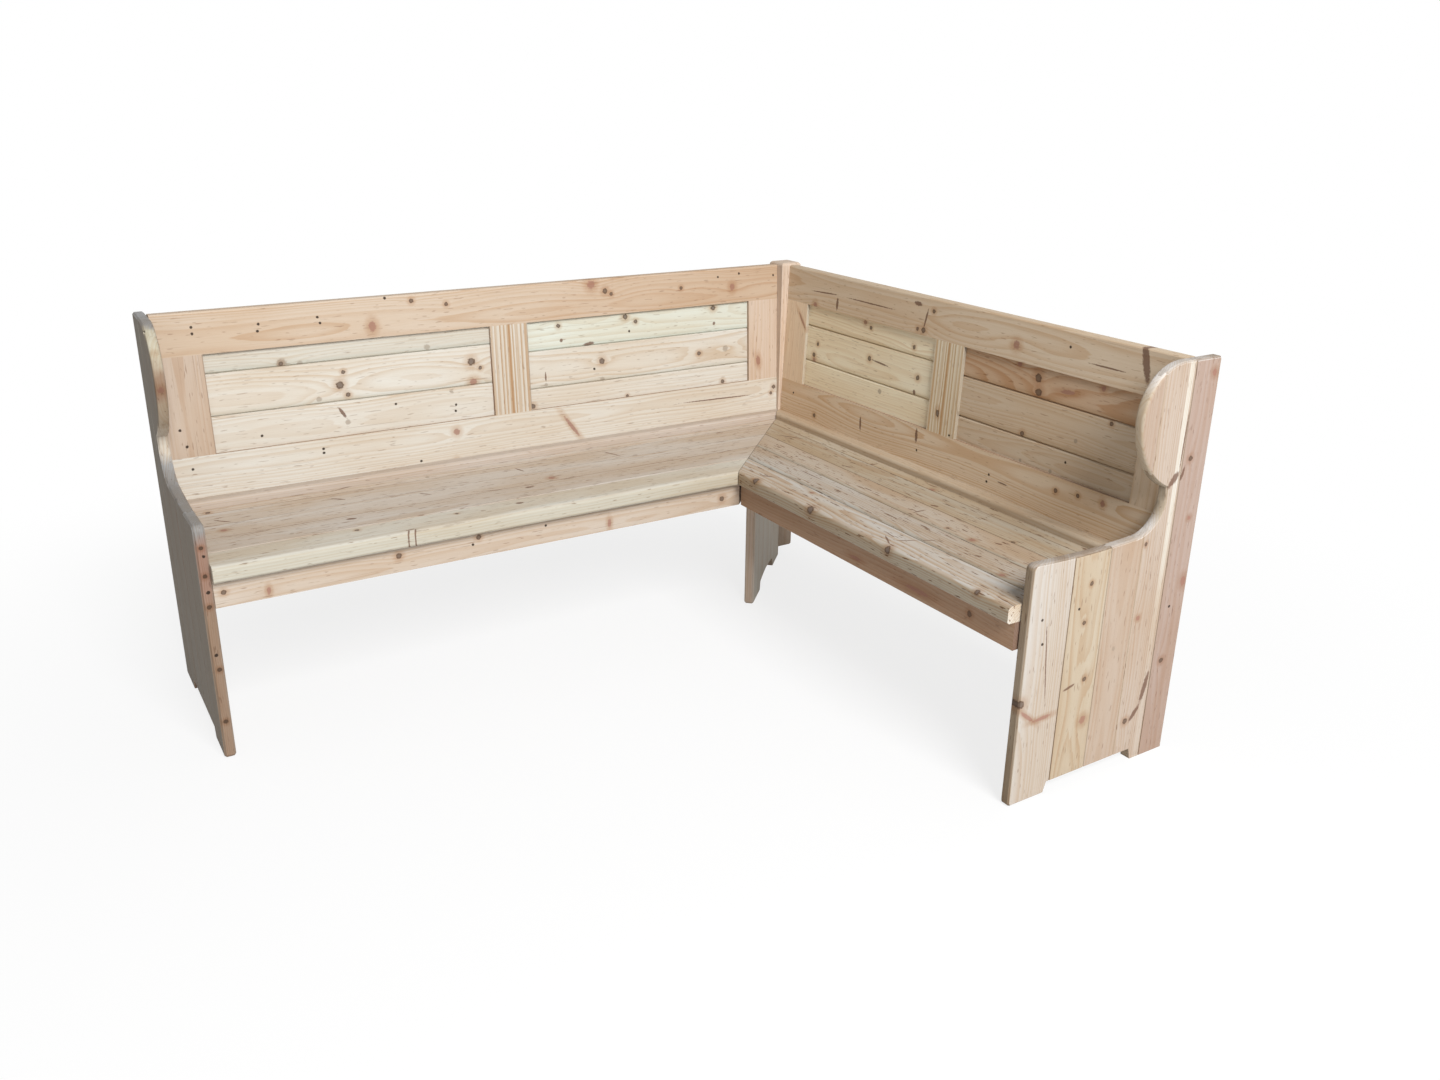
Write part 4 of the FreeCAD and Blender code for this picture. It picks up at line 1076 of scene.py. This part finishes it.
END_PARTS = ("plank_1", "plank_2", "plank_3", "plank_4", "plank_5", "wing_tip")
for side in ("left_end", "right_end"):
    for part in END_PARTS:
        name = side + "_" + part
        print(name, soften(name, FACINGS[side][2]))

# %% [markdown]
# ## Floor, light and camera
# The bench stands on white.  The floor is a plain sheet; to the camera it glows white, and near
# the bench a part of its real shading is kept, so that the feet have a soft shadow.

# %% Floor
FLOOR_HALF = 30.0
PAPER = 0.80                            # reflectance of the floor
GLOW = 0.80                             # share of the glow near the bench
NEAR = 0.9                              # it grows to the whole between these distances
FAR = 2.6


def seen_directly(tree):
    """1 for camera, glossy and transmission rays, 0 for the rays that light the bench."""
    path = tree.node("ShaderNodeLightPath").outputs
    seen = tree.math("MAXIMUM", path["Is Camera Ray"], path["Is Glossy Ray"])
    return tree.math("MAXIMUM", seen, path["Is Transmission Ray"])


def stage_floor(half):
    """Square white floor that keeps a soft shadow of the bench."""
    mesh = bpy.data.meshes.new("floor")
    sheet = [(-half, -half, 0.0), (half, -half, 0.0), (half, half, 0.0), (-half, half, 0.0)]
    mesh.from_pydata(sheet, [], [(0, 1, 2, 3)])
    floor = bpy.data.objects.new("floor", mesh)
    bpy.context.scene.collection.objects.link(floor)
    material = bpy.data.materials.new("white_floor")
    material.use_nodes = True
    material.node_tree.nodes.clear()
    tree = Tree(material.node_tree)
    away = tree.length(tree.node("ShaderNodeTexCoord").outputs["Object"])
    paper = tree.node("ShaderNodeBsdfDiffuse", {"Color": (PAPER, PAPER, PAPER, 1.0)})
    glow = tree.node("ShaderNodeEmission", {"Color": (1.0, 1.0, 1.0, 1.0), "Strength": 1.0})
    share = tree.math("MULTIPLY", seen_directly(tree), tree.band(away, NEAR, FAR, GLOW, 1.0))
    both = tree.node("ShaderNodeMixShader", {0: share, 1: paper.outputs[0], 2: glow.outputs[0]})
    tree.node("ShaderNodeOutputMaterial", {"Surface": both.outputs[0]})
    mesh.materials.append(material)
    return floor


print("floor:", stage_floor(FLOOR_HALF).name)

# %% [markdown]
# One large soft lamp stands far in front, high and a little to the left, so that fronts are
# bright, seats a step darker and the faces that look to the left much darker.  The world adds a
# weak even light; the camera sees it as plain white.

# %% Light
KEY_PLACE = (-0.45, -5.6, 5.1)
KEY_AIM = (0.0, 0.2, 0.5)
KEY_SIZE = 3.2
KEY_POWER = 690.0
FILL = 0.33                             # strength of the world's light on the bench


def soft_lamp(name, place, aim, size, power):
    """Square lamp at a place, turned to shine at a point."""
    data = bpy.data.lights.new(name, "AREA")
    data.shape = "SQUARE"
    data.size = size
    data.energy = power
    lamp = bpy.data.objects.new(name, data)
    lamp.location = place
    lamp.rotation_euler = (Vector(aim) - Vector(place)).to_track_quat("-Z", "Y").to_euler()
    bpy.context.scene.collection.objects.link(lamp)
    return lamp


key = soft_lamp("key", KEY_PLACE, KEY_AIM, KEY_SIZE, KEY_POWER)
world = bpy.data.worlds.new("studio")
bpy.context.scene.world = world
world.use_nodes = True
world.node_tree.nodes.clear()
tree = Tree(world.node_tree)
strength = tree.band(seen_directly(tree), 0.0, 1.0, FILL, 1.0)
sky = tree.node("ShaderNodeBackground", {"Color": (1.0, 1.0, 1.0, 1.0), "Strength": strength})
tree.node("ShaderNodeOutputWorld", {"Surface": sky.outputs[0]})
print("lamp:", key.name, "world:", world.name)

# %% [markdown]
# ## Camera
# Place, turn and lens were fitted to the corners of the bench in the picture.

# %% Camera
CAMERA_PLACE = (-1.2159, -2.2251, 1.4222)
CAMERA_TURN = (70.056, -0.803, -32.027)     # degrees about x, y and z
LENS = 29.871
SHIFT = (-0.0009, -0.0210)
camera_data = bpy.data.cameras.new("camera")
camera_data.sensor_width = 36.0
camera_data.lens = LENS
camera_data.shift_x = SHIFT[0]
camera_data.shift_y = SHIFT[1]
camera = bpy.data.objects.new("camera", camera_data)
camera.location = CAMERA_PLACE
camera.rotation_euler = [math.radians(angle) for angle in CAMERA_TURN]
bpy.context.scene.collection.objects.link(camera)
bpy.context.scene.camera = camera
bpy.context.scene.view_settings.view_transform = "Standard"
print("camera:", camera.name, "lens", camera_data.lens)
